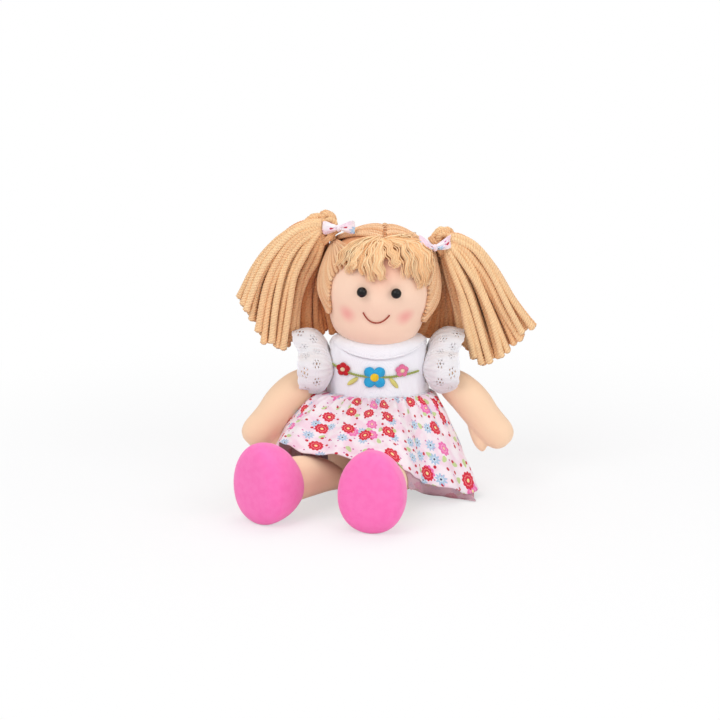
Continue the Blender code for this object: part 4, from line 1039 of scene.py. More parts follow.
pigtail = {
    "pivot": {left: (0.0487, -0.001, 0.18088), right: (-0.04025, -0.001, 0.18944)},
    "guides": {
        right: [
            [(0, 3, 0), (6, 4, 0), (18, 0, 1), (33, -10, 2), (47.5, -27, 3), (59.5, -48.5, 4)],
            [(0, 1, 0), (8, 1.5, 0), (19, -2.5, 1), (33, -13.5, 3), (44.5, -30, 4), (55, -60, 5)],
            [(0, 0, 0), (8, -1, 0), (20, -6, 2), (33, -18.5, 4), (43, -38, 5), (49, -67, 6)],
            [(0, -1, 0), (8, -3, 0), (19, -10, 2), (30, -27, 4), (37.5, -50, 6), (42.5, -83, 6)],
            [(0, -1.5, 0), (6.5, -5, 0), (15.5, -14, 2), (24.5, -29.5, 4), (31.5, -54, 6), (35.5, -84, 6)],
            [(0, -2, 0), (4.5, -7, 0), (11.5, -18, 2), (18.5, -35, 4), (22.5, -58, 5), (27.5, -88, 4)],
            [(-1, -3, 0), (0, -12, 1), (4.5, -24, 4), (11, -38, 7), (16.5, -56, 9), (19, -80, 9)],
            [(-1.5, -3, 1), (-1, -12, 5), (1.5, -26, 10), (5, -42, 13), (7, -58, 14), (6, -80, 13)],
            [(-2, -3, 2), (-3, -12, 8), (-3, -28, 16), (-5, -42, 19), (-9.5, -60, 20), (-16.5, -81, 19)],
        ],
        left: [
            [(0, 2, 0), (8, 2.5, 0), (20, -2, 1), (33.5, -17.5, 2), (49, -42, 3), (67, -62, 4)],
            [(0, 1, 0), (8, 0, 0), (20, -7, 1), (33, -25, 3), (46, -46, 4), (57, -65, 5)],
            [(0, 0, 0), (7, -3, 0), (15, -9.5, 2), (27, -27, 4), (39, -50, 5), (53, -74, 6)],
            [(0, -1, 0), (5, -5, 0), (12, -13, 2), (22, -30, 4), (33, -54, 6), (43, -82, 6)],
            [(0, -2, 0), (3.5, -8, 0), (9, -19, 2), (17.5, -36, 4), (26, -59, 6), (35.5, -87, 6)],
            [(-0.5, -3, 0), (0, -11, 0), (5, -23, 2), (12, -40, 4), (18.5, -62, 5), (27, -91, 4)],
            [(-1, -3, 0), (-1, -12, 1), (3, -25, 4), (9, -41, 7), (14, -58, 9), (18, -84, 8)],
            [(-1.5, -3, 1), (-3, -13, 5), (0, -27, 11), (4, -43, 14), (7.5, -58, 15), (9.5, -76, 13)],
            [(-2, -3, 2), (-5, -13, 8), (-5, -28, 16), (-4, -43, 20), (-6, -58, 20), (-9, -75, 19)],
            [(-2, -3, 3), (-6, -13, 10), (-8, -28, 19), (-9, -44, 22), (-15, -60, 22), (-24, -75, 21)],
        ],
    },
    "depth": [2.5, 6.5, 10, 11.5, 12, 11], "shrink": (0.93,
        1.02), "swing": 1.3, "wobble": 0.5, "slim": 0.65, "fray": 0.16,
    # layers from front to back: place in the depth, strands, first and last share of the guides, tone; the tone is
    # painted shade, light at the front and darker orange towards the back
    "layers": [(-1.05, 8, 0.03, 0.68, 0.95), (-0.55, 11, 0.0, 0.80, 0.75), (0.0, 14, 0.02, 1.0, 0.45),
        (0.5, 14, 0.04, 1.0, 0.28), (0.98, 12, 0.08, 1.0, 0.18), (0.1, 6, 0.72, 1.0, 0.15), (0.7, 6, 0.70, 1.0,
        0.05)],
    "yarn": 0.00245, "plies": 3, "pitch": 0.0064,
}


def pigtailRoute(side, across, deep, draws):
    guides = pigtail["guides"][side]
    place = clamp(across, 0, 0.9999) * (len(guides) - 1)
    first, part = int(place), place - int(place)
    shrink = draws.uniform(*pigtail["shrink"])
    pivot = Vector(pigtail["pivot"][side])
    rows = []
    swing, drift = draws.uniform(-pigtail["swing"], pigtail["swing"]), draws.uniform(0, 6.3)
    inner = clamp((place - len(guides) + 4) / 3)
    for index, (a, b) in enumerate(zip(guides[first], guides[first + 1])):
        out, up, back = (p + (q - p) * part for p, q in zip(a, b))
        if index == len(guides[0]) - 1:
            out, up = before[0] + (out - before[0]) * shrink, before[1] + (up - before[1]) * shrink
        before = (out, up)
        wobble = swing * math.sin(index * 1.4 + drift) + draws.uniform(-pigtail["wobble"], pigtail["wobble"])
        wobble *= min(index / 2, 1)
        y = back + deep * pigtail["depth"][index] * (1 - pigtail["slim"] * inner)
        rows.append(pivot + Vector((side * (out + wobble), y + wobble, up + wobble * 0.5)) / 1000)
    return evenRoute(smoothRoute(rows, 6), threadStep)


def makePigtail(side):
    draws = random.Random(20 + side)
    strands = []
    for deep, count, low, high, tone in pigtail["layers"]:
        for k in range(count):
            across = low + (high - low) * (k + 0.5 + draws.uniform(-0.28, 0.28)) / count
            route = pigtailRoute(side, across, deep + draws.uniform(-0.16, 0.16), draws)
            # painted shade: strands on the inner guides behind the head are darker, plus random tone
            shade = clamp(tone * (1 - 0.5 * max(across - 0.6, 0)) + draws.uniform(-0.15, 0.15))
            thick = pigtail["yarn"] * draws.uniform(0.92, 1.08)
            pitch = pigtail["pitch"] * draws.uniform(0.9, 1.1)
            strands.append((route, (thick, thick), pigtail["plies"], pitch, draws.uniform(0, 6), shade,
                pigtail["fray"]))
    bunch = sideName[side] + "_pigtail"
    ropes(sideName[side] + "_yarn_pigtail", strands, pigtailYarn, bunch, bunch)


# The folded end of each bundle, as loops over the tie: depth, height and lean out, in metres

tuft = {
    "loops": {
        right: [
            (0.001, 0.0062, 0.009), (0.003, 0.0045, 0.011), (0.004, 0.0072, 0.006), (0.002, 0.0085, -0.001),
            (0.0005, 0.0050, -0.003), (0.007, 0.0066, 0.008), (0.006, 0.0092, 0.000), (0.010, 0.0078, -0.002),
            (0.011, 0.0060, 0.006), (0.003, 0.0030, 0.009), (0.0135, 0.0055, 0.002), (0.000, 0.0040, 0.003),
            (0.005, 0.0055, 0.003),
        ],
        left: [
            (0.002, 0.0050, 0.001), (0.005, 0.0060, -0.001), (0.003, 0.0040, -0.003), (0.008, 0.0055, 0.003),
            (0.010, 0.0050, -0.001), (0.013, 0.0035, 0.002), (0.000, 0.0030, 0.000),
        ],
    },
    "arch": 0.0065, "yarn": 0.0024, "pitch": 0.0064, "inward": 0.003,
    "tieRing": 0.0072, "tieYarn": 0.0014, "tiePitch": 0.004, "tieWide": 0.0032, "tieTurns": 2, "tieSteps": 180,
}


def makeTuft(side):
    draws = random.Random(40 + side)
    pivot = Vector(pigtail["pivot"][side])
    way = headTurn.to_3x3() @ tieWay(side)
    base = headMiddle + way * (cap["tieReach"] - tuft["inward"])
    strands = []
    for deep, high, out in tuft["loops"][side]:
        top = pivot + Vector((side * (out - tuft["inward"]), deep, high))
        reach = Vector((side * tuft["arch"] / 2, 0, 0))
        spots = [
            base - way * 0.004 + axisY * deep * 0.3,
            base + way * 0.004 + axisY * deep * 0.6,
            top - reach * 1.1 - axisZ * 0.0050,
            top - reach * 0.7 - axisZ * 0.0012,
            top,
            top + reach * 0.8 - axisZ * 0.0014,
            top + reach * 1.15 - axisZ * 0.0060,
            pivot + Vector((side * 0.002, deep * 0.6, -0.001)),
        ]
        route = evenRoute(smoothRoute(spots, 6), threadStep)
        strands.append((route, (tuft["yarn"],) * 2, 3, tuft["pitch"], draws.uniform(0, 6), draws.uniform(0.6, 1), 0))
    node = sideName[side] + "_hair_tuft"
    ropes(sideName[side] + "_folded_tuft", strands, pigtailYarn, "head", node)
    turn = axisZ.rotation_difference(way).to_matrix()
    path = []
    for k, angle in enumerate(turns(tuft["tieSteps"], tuft["tieTurns"])):
        local = Vector((math.cos(angle), math.sin(angle), 0)) * tuft["tieRing"]
        local += axisZ * (k / tuft["tieSteps"] - 0.5) * tuft["tieWide"]
        path.append(headMiddle + way * cap["tieReach"] + turn @ local)
    ring = (evenRoute(path, threadStep), (tuft["tieYarn"],) * 2, 3, tuft["tiePitch"], 0, 0.5, 0)
    node = sideName[side] + "_hair_tie"
    ropes(sideName[side] + "_yarn_tie", [ring], pigtailYarn, "head", node)


for side in sides:
    makePigtail(side)
    makeTuft(side)
print("hair made")


# Dress: each cloth is a sheet with a cut size

def thicken(piece, body, node, thickness, *finishing, **values):
    area = sum(face.area for face in piece.data.polygons)
    addModifier(piece, "SOLIDIFY", thickness=thickness, offset=0, **values)
    for kind, settings in finishing:
        addModifier(piece, kind, **settings)
    applyModifiers(piece)
    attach(piece, body)
    if node:
        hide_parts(node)
    return area


def declareSheet(piece, wide, area):
    print(piece.name, "cut", round(wide, 4), "x", round(area / wide, 4))


# Bodice panels and neck band; a band ring is half width, half depth, height and rise at the sides

rounding = ("SUBSURF", {"levels": 1, "render_levels": 1})
dress = {
    "ease": 0.0015, "cloth": 0.0011, "waist": 0.0705, "waistCord": 0.0009,
    "armhole": 0.0122, "neckline": 0.0265, "neckDeep": 0.81, "seamY": 0.004, "backSplit": -0.004, "gap": 0.0003,
    "panelWide": 0.110, "rumple": 0.0004, "ripple": 0.0003, "bandLong": 0.190, "bandStitches": 110,
    "fineThread": 0.00016,
    "shoulderFrom": (0.091, 0.014), "shoulderTo": (0.101, 0.030),
    "bandLow": (0.0340, 0.0236, 0.0985, 0.0092), "bandTop": (0.0272, 0.0203, 0.1081, 0.0032), "bandInner": (0.0200,
        0.0150, 0.1078, 0.0014), "bandThick": 0.0014,
    "shoulderLift": 0.0062,
}


def dressHalf(height):
    grown = dress["ease"] + dress["cloth"]
    return [half + grown for half in stationAt(trunk["stations"], height)]


def bodiceSkin(across, height, out, facing=-1):
    wide, deep = dressHalf(height - dress["ease"])
    depth = deep * math.sqrt(max(1 - (across / wide) ** 2, 0.0001))
    normal = Vector((across / wide ** 2, facing * depth / deep ** 2, 0)).normalized()
    return Vector((across, facing * depth, height)) + normal * out


def keepSide(bm, spot, away):
    whole = bm.verts[:] + bm.edges[:] + bm.faces[:]
    bmesh.ops.bisect_plane(bm, geom=whole, plane_co=spot, plane_no=away, clear_outer=True)


def makeBodicePanel(name, node, front, half):
    grow = dress["ease"] + dress["cloth"] / 2
    bm = loft(trunkRows(grow, dress["ease"], 4, 10), 144, capped=False)
    keepSide(bm, (0, 0, dress["waist"] + dress["gap"] * 2), -axisZ)
    keepSide(bm, (0, dress["seamY"], 0), axisY if front else -axisY)
    if half:
        keepSide(bm, (dress["backSplit"], 0, 0), -axisX * half)
    pivot = Vector(trunk["neckPivot"])
    cut = []
    for face in bm.faces:
        spot = face.calc_center_median()
        inArm = math.hypot(spot.y, spot.z - arm["pivot"][left][2]) < dress["armhole"] and abs(spot.x) > 0.02
        x, y = (spot.x - pivot.x) / dress["neckline"], (spot.y - pivot.y) / (dress["neckline"] * dress["neckDeep"])
        if inArm or (math.hypot(x, y) < 1 and spot.z > 0.085):
            cut.append(face)
    bmesh.ops.delete(bm, geom=cut, context="FACES")
    for vert in bm.verts:
        spot = vert.co
        out = Vector((spot.x, spot.y, 0)).normalized()
        low = math.exp(-max(spot.z - dress["waist"], 0) / 0.006)
        turn = math.atan2(spot.y, spot.x)
        rumple = noise.noise(spot * 120) * dress["rumple"]
        rumple += noise.noise(Vector((turn * 14, 0,
            spot.z * 60))) * dress["ripple"] + dress["ripple"] * low * math.sin(34 * turn)
        raised = 1
        for place, start, end in zip((spot.z, abs(spot.x)), dress["shoulderFrom"], dress["shoulderTo"]):
            raised *= clamp((place - start) / (end - start))
        vert.co = spot + out * rumple + axisZ * dress["shoulderLift"] * raised ** 1.5
    piece = addPiece(name, bm, whiteCotton, None)
    area = thicken(piece, "torso", node, dress["cloth"] * 0.7)
    declareSheet(piece, dress["panelWide"] if front else dress["panelWide"] / 2, area)


def bandRing(ring, turn):
    pivot = Vector(trunk["neckPivot"])
    wide, deep, height, rise = dress[ring]
    return Vector((pivot.x + wide * math.cos(turn), pivot.y + deep * math.sin(turn), height
        + rise * math.cos(turn) ** 2))


def bandSpot(turn, part, out):
    # up the outside to the fold at 0.7, then in towards the neck
    low, top, inner = (bandRing(ring, turn) for ring in ("bandLow", "bandTop", "bandInner"))
    outward = Vector((math.cos(turn), math.sin(turn), 0.9)).normalized()
    if part < 0.7:
        share = part / 0.7
        return low.lerp(top, share) + outward * (out + 0.0014 * math.sin(math.pi * share * 0.85) ** 0.8)
    share = (part - 0.7) / 0.3
    return top.lerp(inner, share) + outward * out * (1 - share) + axisZ * 0.0008 * math.sin(math.pi * (0.35
        + 0.65 * share))


def makeNeckBand():
    bm = makeGrid(140, 24)
    for vert in bm.verts:
        turn = 2*math.pi * (vert.co.x + 0.5)
        part = vert.co.y + 0.5
        crease = 0.0004 * noise.noise(Vector((math.cos(turn) * 7, math.sin(turn) * 7,
            part * 2))) + 0.00012 * math.sin(31 * turn)
        hem = 0.0005 * math.exp(-((part - 0.10) / 0.035) ** 2)
        vert.co = bandSpot(turn, part, crease - hem)
    bmesh.ops.remove_doubles(bm, verts=bm.verts, dist=0.00001)
    bmesh.ops.recalc_face_normals(bm, faces=bm.faces)
    piece = addPiece("folded_neck_band", bm, whiteCotton, None)
    area = thicken(piece, "torso", "neck_binding", dress["bandThick"], rounding)
    stitches = []
    for turn in turns(dress["bandStitches"])[:-1]:
        a, b = (bandSpot(place, 0.10, 0.0006) for place in (turn, turn + 0.036))
        stitches.append([a - axisZ * 0.0003, a.lerp(b, 0.5), b - axisZ * 0.0003])
    thread = addThreads("neck_band_stitches", stitches, dress["fineThread"], whiteCotton, "torso", 5)
    declareSheet(piece, dress["bandLong"], area)


makeBodicePanel("bodice_front_panel", "bodice_front", True, 0)
makeBodicePanel("bodice_left_back_panel", "bodice_back_left", False, left)
makeBodicePanel("bodice_right_back_panel", "bodice_back_right", False, right)
makeNeckBand()


# Sleeve frills: eyelet cloth gathered round the armhole, cut flat as width along the seam and reach

frill = {
    "sweep": 140, "width": 0.150, "length": 0.034, "reach": 0.0245, "cells": (400, 90), "cloth": 0.0005,
    "puff": 0.0128, "lobe": 0.0026, "lobeAngle": 90, "lobeStart": 2, "gather": 0.0007, "gathers": 30, "scallops": 25,
    "scallop": 0.0008,
    "belly": 0.0022, "turnIn": 0.0020, "ripple": 0.0011, "ripples": 8.3, "crumple": 0.0009, "sideways": 0.0026,
    "sideMargin": 0.003, "edgeMargin": 0.0015, "edgeThread": 0.0005, "snap": 0.0002,
    # flower-like clusters of eyelets, as rows of place out, count and shift along
    "clusterRows": [(0.46, 11, 0.0), (0.80, 11,
        0.5)], "petals": 6, "petalReach": 0.0030, "eye": 0.0012, "petalEye": 0.0009, "rim": 0.00026,
}


def frillSpot(side, along, out):
    out = clamp(out)
    turn = math.radians(frill["sweep"]) * (2 * along - 1)
    pivot = Vector(arm["pivot"][side])
    outward = Vector((0, -math.sin(turn), math.cos(turn)))
    seam = outward * (dress["armhole"] + dress["gap"]) + axisZ * pivot.z
    wide, deep = dressHalf(seam.z - dress["ease"])
    start = wide * math.sqrt(max(1 - (seam.y / deep) ** 2, 0)) + dress["gap"]
    turned = 2*math.pi * (turn - math.radians(frill["lobeStart"])) / math.radians(frill["lobeAngle"])
    lobe = math.cos(turned)
    end = math.cos(turn / 2) ** 2
    reach = frill["reach"] * (0.84 + 0.16 * end
        + 0.07 * lobe) + frill["scallop"] * abs(math.sin(math.pi * along * frill["scallops"]))
    puffed = frill["puff"] * (1 - (1 - out) ** 4.5) * (0.90 + 0.10 * end)
    puffed += frill["belly"] * math.sin(math.pi * out) * (0.5 + 0.5 * lobe)
    wave = frill["lobe"] * lobe * out ** 0.7 - frill["turnIn"] * out ** 3
    gathered = frill["gather"] * math.sin(2*math.pi * frill["gathers"] * along + 2 * math.sin(9 * along))
    gathered *= math.exp(-out * 3.5) * min(out * 12, 1)
    ripple = frill["ripple"] * math.sin(2*math.pi * frill["ripples"] * along + 1.3 * side) * out ** 1.5
    ripple += frill["crumple"] * noise.noise(Vector((along * 11, out * 2.5, side)))
    sideways = frill["sideways"] * math.sin(turned) * out
    across = Vector((0, -math.cos(turn), -math.sin(turn)))
    return seam + outward * (puffed + wave + gathered + ripple) + across * sideways + axisX * side * (start
        + reach * out)


def eyelets():
    spots = []
    for out, count, shift in frill["clusterRows"]:
        for k in range(count):
            x, y = frill["width"] * ((k + 0.5 + shift) / count % 1), frill["length"] * out
            spots.append((x, y, frill["eye"]))
            for petal in range(frill["petals"]):
                turn = 2*math.pi * petal / frill["petals"] + out
                spots.append((x + frill["petalReach"] * math.cos(turn), y + frill["petalReach"] * math.sin(turn),
                    frill["petalEye"]))
    margin = frill["sideMargin"]
    return [spot for spot in spots if margin < spot[0] < frill["width"] - margin
        and spot[1] < frill["length"] - frill["edgeMargin"]]


def makeFrill(side):
    name = sideName[side]
    bm = makeGrid(*frill["cells"])
    for vert in bm.verts:
        vert.co = Vector(((vert.co.x + 0.5) * frill["width"], (vert.co.y + 0.5) * frill["length"], 0))
    holes = eyelets()
    gone = []
    for vert in bm.verts:
        for x, y, radius in holes:
            away = math.hypot(vert.co.x - x, vert.co.y - y)
            if away < radius - frill["snap"]:
                gone.append(vert)
                break
            if away < radius + frill["snap"]:
                vert.co = Vector((x, y, 0)) + (vert.co - Vector((x, y, 0))).normalized() * radius
                break
    bmesh.ops.delete(bm, geom=gone, context="VERTS")
    mapCloth(bm, lambda spot: spot.xy)
    for vert in bm.verts:
        vert.co = frillSpot(side, vert.co.x / frill["width"], vert.co.y / frill["length"])
    bmesh.ops.recalc_face_normals(bm, faces=bm.faces)
    piece = addPiece(name + "_eyelet_frill", bm, eyeletCotton, None)
    area = thicken(piece, "torso", name + "_sleeve_frill", frill["cloth"])
    rims = []
    for x, y, radius in holes:
        rims.append([
            frillSpot(side, (x + radius * math.cos(turn)) / frill["width"],
                (y + radius * math.sin(turn)) / frill["length"])
            for turn in turns(8)
        ])
    edge = [frillSpot(side, k / 500, 1.0) for k in range(501)]
    rimThread = addThreads(name + "_frill_embroidery", rims, frill["rim"], whiteCotton, "torso", 4)
    edgeThread = addThreads(name + "_frill_edge", [edge], frill["edgeThread"], whiteCotton, "torso")
    declareSheet(piece, frill["width"], area)


for side in sides:
    makeFrill(side)


# Skirt: print cotton gathered into the waist, cut flat as width and length

skirt = {
    "width": 0.560, "length": 0.082, "cells": (620, 60), "reach": 0.080, "drop": 0.0695, "cloth": 0.0005,
    # reach and drop of the hem every 15 degrees from the doll's left, as shares
    "hemReach": [0.74, 0.74, 0.74, 0.74, 0.72, 0.70, 0.68, 0.67, 0.69, 0.73, 0.76, 0.78, 0.82, 0.92, 1.02, 1.04,
        0.97, 0.93, 0.91, 0.965, 0.82, 0.86, 0.975, 0.86],
    "hemDrop": [0.98, 0.98, 0.98, 0.98, 0.98, 0.98, 0.98, 0.98, 0.98, 0.98, 0.96, 0.90, 0.78, 0.58, 0.43, 0.40, 0.43,
        0.46, 0.43, 0.60, 0.75, 0.87, 0.93, 0.97],
    "spread": 0.8, "fall": 1.25, "pleats": 38, "pleatDeep": 0.0020, "folds": 13, "foldDeep": 0.0026, "hemFolds": 31,
    "hemFoldDeep": 0.0008,
    "crumple": 0.0010, "stand": 0.0008, "rightFlare": 0.26, "floor": 0.0006,
    # the strip folded under: first and last angle, then its low edge as places
    "turnedLong": 0.070, "turnedDeep": 0.030, "turnedSag": 0.0030, "turnedWave": 0.0015, "turnedFloor": 0.0012,
    "turnedFrom": 281, "turnedTo": 333, "turnedEdge": [(0.0222, -0.0780, 0.0190), (0.0275, -0.0500, 0.0100),
        (0.0345, -0.0280, 0.0012), (0.0470, -0.0330, 0.0012), (0.0665, -0.0445, 0.0012)],
}


def periodic(values, turn):
    count = len(values)
    place = (turn % (2*math.pi)) / (2*math.pi) * count
    first = math.floor(place)
    t = place - first
    a, b, c, d = (values[(first + k) % count] for k in (-1, 0, 1, 2))
    return (2*b + (c - a)*t + (2*a - 5*b + 4*c - d)*t**2 + (3*b - a - 3*c + d)*t**3) / 2


def skirtSpot(turn, share):
    top = dress["waist"] - dress["waistCord"] * 0.3
    wide, deep = dressHalf(top)
    outward = Vector((math.cos(turn), math.sin(turn), 0))
    waist = Vector((wide * outward.x, deep * outward.y, top))
    hem = outward * periodic(skirt["hemReach"],
        turn) * skirt["reach"] + axisZ * (dress["waist"] - periodic(skirt["hemDrop"], turn) * skirt["drop"])
    way = hem - waist
    pleat = skirt["pleatDeep"] * math.sin(skirt["pleats"] * turn + 2 * math.sin(3 * turn))
    pleat *= math.exp(-share * 4.2) * min(share * 14, 1)
    fold = skirt["foldDeep"] * share ** 0.9 * math.sin(skirt["folds"] * turn + 1.4 * math.sin(2 * turn) + 0.8 * share)
    hemFold = skirt["hemFoldDeep"] * share * math.sin(skirt["hemFolds"] * turn
        + 2.2 * math.sin(5 * turn) - 1.5 * share)
    crumple = skirt["crumple"] * noise.noise(Vector((math.cos(turn) * 5, math.sin(turn) * 5,
        share * 4))) * min(share * 6, 1)
    flat = Vector((way.x, way.y, 0)) * share ** (skirt["spread"] - skirt["rightFlare"] * max(-math.cos(turn), 0))
    normal = (outward * abs(way.z) + axisZ * Vector((way.x, way.y)).length).normalized()
    out = pleat + fold + hemFold + crumple + skirt["stand"]
    return waist + flat + axisZ * way.z * share ** skirt["fall"] + normal * out


def makeSkirt():
    bm = makeGrid(*skirt["cells"])
    mapCloth(bm, lambda spot: ((spot.x + 0.5) * skirt["width"], (0.5 - spot.y) * skirt["length"]))
    for vert in bm.verts:
        vert.co = clearOfLegs(skirtSpot(2*math.pi * (vert.co.x + 0.5), 0.5 - vert.co.y))
        vert.co.z = max(vert.co.z, skirt["floor"])
    bmesh.ops.remove_doubles(bm, verts=bm.verts, dist=0.000005)
    bmesh.ops.recalc_face_normals(bm, faces=bm.faces)
    piece = addPiece("gathered_skirt", bm, printCotton, None)
    piece.data.materials.append(printInsideShaded)
    area = thicken(piece, "torso", "skirt", skirt["cloth"], material_offset=1)
    declareSheet(piece, skirt["width"], area)


def makeTurnedHem():
    lowEdge = [Vector(spot) for spot in smoothRoute(skirt["turnedEdge"], 30)]
    bm = makeGrid(120, 20)
    mapCloth(bm, lambda spot: ((spot.x + 1.3) * skirt["turnedLong"], (spot.y + 0.5) * skirt["turnedDeep"]))
    for vert in bm.verts:
        along, part = vert.co.x + 0.5, vert.co.y + 0.5
        turn = math.radians(skirt["turnedFrom"] + (skirt["turnedTo"] - skirt["turnedFrom"]) * along)
        outward = Vector((math.cos(turn), math.sin(turn), 0))
        edge = skirtSpot(turn, 0.985) - outward * 0.0010
        low = lowEdge[round(along * (len(lowEdge) - 1))] + outward * 0.0010 * math.sin(19 * along + 2)
        spot = edge.lerp(low, part) - axisZ * skirt["turnedSag"] * math.sin(math.pi * part)
        spot = clearOfLegs(spot + outward * skirt["turnedWave"] * math.sin(11 * along + 4 * part) * part)
        vert.co = Vector((spot.x, spot.y, max(spot.z, skirt["turnedFloor"])))
    bmesh.ops.recalc_face_normals(bm, faces=bm.faces)
    piece = addPiece("turned_hem", bm, printInsideShaded, None)
    area = thicken(piece, "torso", None, skirt["cloth"])
    declareSheet(piece, skirt["turnedLong"], area)


# Printed cotton: flowers, daisies, dots and leaves scattered in cells of the flat cloth

def makeScatterGroup():
    group, given, result = makeGroup(
        "scatteredPrint",
        [("Place", "Vector", None), ("Cells", "Float", 100.0), ("Loose", "Float", 0.7), ("Shift", "Float", 0.0),
            ("Petals", "Float", 8.0), ("Petal Depth", "Float", 0.12), ("Stretch", "Float", 0.0)],
        [("Reach", "Float"), ("Draw", "Float"), ("Pick", "Float")])
    moved = addNode(group, "VectorMath", {"operation": "ADD"}, i0=given["Place"],
        i1=addNode(group, "CombineXYZ", X=given["Shift"], Y=given["Shift"]).outputs[0])
    cells = addNode(group, "TexVoronoi", {"voronoi_dimensions": "2D"}, Vector=moved.outputs[0], Scale=given["Cells"],
        Randomness=given["Loose"])
    middle = cells.outputs["Position"]
    away = addNode(group, "VectorMath", {"operation": "SUBTRACT"}, i0=moved.outputs[0], i1=middle)
    split = addNode(group, "SeparateXYZ", i0=away.outputs[0])
    colour = addNode(group, "SeparateColor", i0=cells.outputs["Color"])
    spin = times(group, colour.outputs[2], 6.283)
    x, y = split.outputs["X"], split.outputs["Y"]
    sine, cosine = calc(group, "SINE", spin), calc(group, "COSINE", spin)
    turnedX = plus(group, times(group, x, cosine), times(group, y, sine))
    turnedY = calc(group, "SUBTRACT", times(group, y, cosine), times(group, x, sine))
    stretched = times(group, turnedY, plus(group, 1.0, given["Stretch"]))
    reach = calc(group, "SQRT", plus(group, times(group, turnedX, turnedX), times(group, stretched, stretched)))
    angle = calc(group, "ARCTAN2", stretched, turnedX)
    petal = calc(group, "ABSOLUTE", calc(group, "COSINE", times(group, angle, times(group, given["Petals"], 0.5))))
    scallop = plus(group, 1.0, times(group, calc(group, "SUBTRACT", 1.0, petal), given["Petal Depth"]))
    plug(group, result["Reach"], times(group, reach, scallop))
    plug(group, result["Draw"], colour.outputs[0])
    plug(group, result["Pick"], colour.outputs[1])
    return group


scatter = makeScatterGroup()
printLook = {
    "ground": (253, 243, 248), "tint": (250, 222, 236), "leaf": (204, 222, 158), "red": (222, 48, 70), "pink": (244,
        124, 186), "blue": (178, 206, 232),
    # inside: the wrong side of the cloth, duller mauve, darkened as painted shade
    "navy": (38, 44, 92), "cream": (252, 232, 168), "inside": (200, 152, 164),
}


def within(tree, reach, radius, soft=0.00015):
    return ease(tree, reach, radius + soft, radius - soft)


def between(tree, value, low, high):
    return times(tree, calc(tree, "GREATER_THAN", value, low), calc(tree, "LESS_THAN", value, high))


def printLayer(tree, place, colour, cells, shift, petals, deep, stretch, chance, rings, loose=0.55):
    spots = useGroup(tree, scatter, Place=place, Cells=cells, Shift=shift, Petals=petals, Loose=loose,
        Stretch=stretch, **{"Petal Depth": deep})
    chosen = between(tree, spots["Draw"], -0.01, chance)
    for radius, tone in rings:
        colour = blendColours(tree, times(tree, within(tree, spots["Reach"], radius), chosen), colour, paint(*tone))
    return colour


def makePrint(name, flowers=True, wrongSideShade=0.0):
    made, tree, shader = startMaterial(name, 0.88, sheen=0.1)
    place = threadPlace(tree, "cloth")
    look = printLook
    warp = addNode(tree, "TexNoise", Vector=place, Scale=90.0, Detail=1.0)
    colour = blendColours(tree, ease(tree, warp.outputs["Fac"], 0.40, 0.65), paint(*look["ground"]),
        paint(*look["tint"]))
    if flowers:
        colour = printLayer(tree, place, colour, 74.0, 0.31, 3.0, 0.25, 0.5, 0.50, [(0.0034, look["leaf"])])
    colour = printLayer(tree, place, colour, 150.0, 0.13, 2.0, 0.0, 0.0, 0.35, [(0.0008, (214, 120, 178))])
    colour = printLayer(tree, place, colour, 104.0, 0.77, 2.0, 0.0, 0.20, 0.62, [(0.0015, (204, 40, 64))])
    colour = printLayer(tree, place, colour, 64.0, 0.91, 9.0, 0.85, 0.0, 0.40,
        [(0.0050, look["blue"]), (0.0022, (226, 238, 246)), (0.0011, look["navy"])])
    if flowers:
        colour = printLayer(tree, place, colour, 50.0, 0.55, 8.0, 0.28, 0.0, 0.44,
            [(0.0060, look["pink"]), (0.0034, (252, 176, 210)), (0.0026, look["pink"]), (0.0012, look["cream"])])
        colour = printLayer(tree, place, colour, 47.0, 0.19, 11.0, 0.20, 0.0, 0.46,
            [(0.0064, look["red"]), (0.0039, (248, 150, 150)), (0.0034, look["red"]), (0.0014, look["cream"])])
    # the wrong side's duller colour, darkened as painted shade of the skirt's inside
    if wrongSideShade:
        colour = blendColours(tree, wrongSideShade, colour, paint(*look["inside"]))
    woven = useGroup(tree, weave, Place=place, Threads=2400.0)
    # painted shade in the gaps between the woven threads
    shade = calc(tree, "SUBTRACT", 1.0, times(tree, woven["Gap"], 0.10))
    plug(tree, shader.inputs["Base Color"], shaded(tree, colour, shade))
    raiseSurface(tree, shader, woven["Height"], 0.00005)
    return made


printCotton = makePrint("printCotton")
# inside faces of the skirt and turned hem: wrong side of the print with painted shade
printInsideShaded = makePrint("printCottonInsideShaded", True, 0.80)
printSmall = makePrint("printCottonSmall", False)
makeSkirt()
makeTurnedHem()


def makeWaistCord():
    wide, deep = stationAt(trunk["stations"], dress["waist"])
    out = dress["ease"] + dress["cloth"] / 2
    path = []
    for k in range(241):
        turn = 2*math.pi * k / 240
        bump = 0.00025 * math.sin(60 * turn)
        path.append(Vector(((wide + out + bump) * math.cos(turn), (deep + out + bump) * math.sin(turn),
            dress["waist"] + 0.0002)))
    piece = addThreads("waist_cord", [path], dress["waistCord"], whiteCotton, "torso", 8)
    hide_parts("waist_seam")


makeWaistCord()


# Bows of the skirt's cloth

bow = {
    "width": 0.0240, "high": 0.0092, "pinch": 0.22, "knot": (0.001764, 0.0022, 0.002604),
    "slant": {left: 2, right: -4},
    "outwards": 20, "lift": {left: 0.0046, right: 0.0004}, "cloth": 0.0005,
    "place": {left: (0.0390, -0.0128, 0.1762), right: (-0.0276, -0.0106, 0.1898)},
    "puff": 0.0022, "pleat": 0.0007, "flop": 0.0010, "forward": 0.0008, "knotForward": 0.0012, "knotCrease": 0.0003,
}


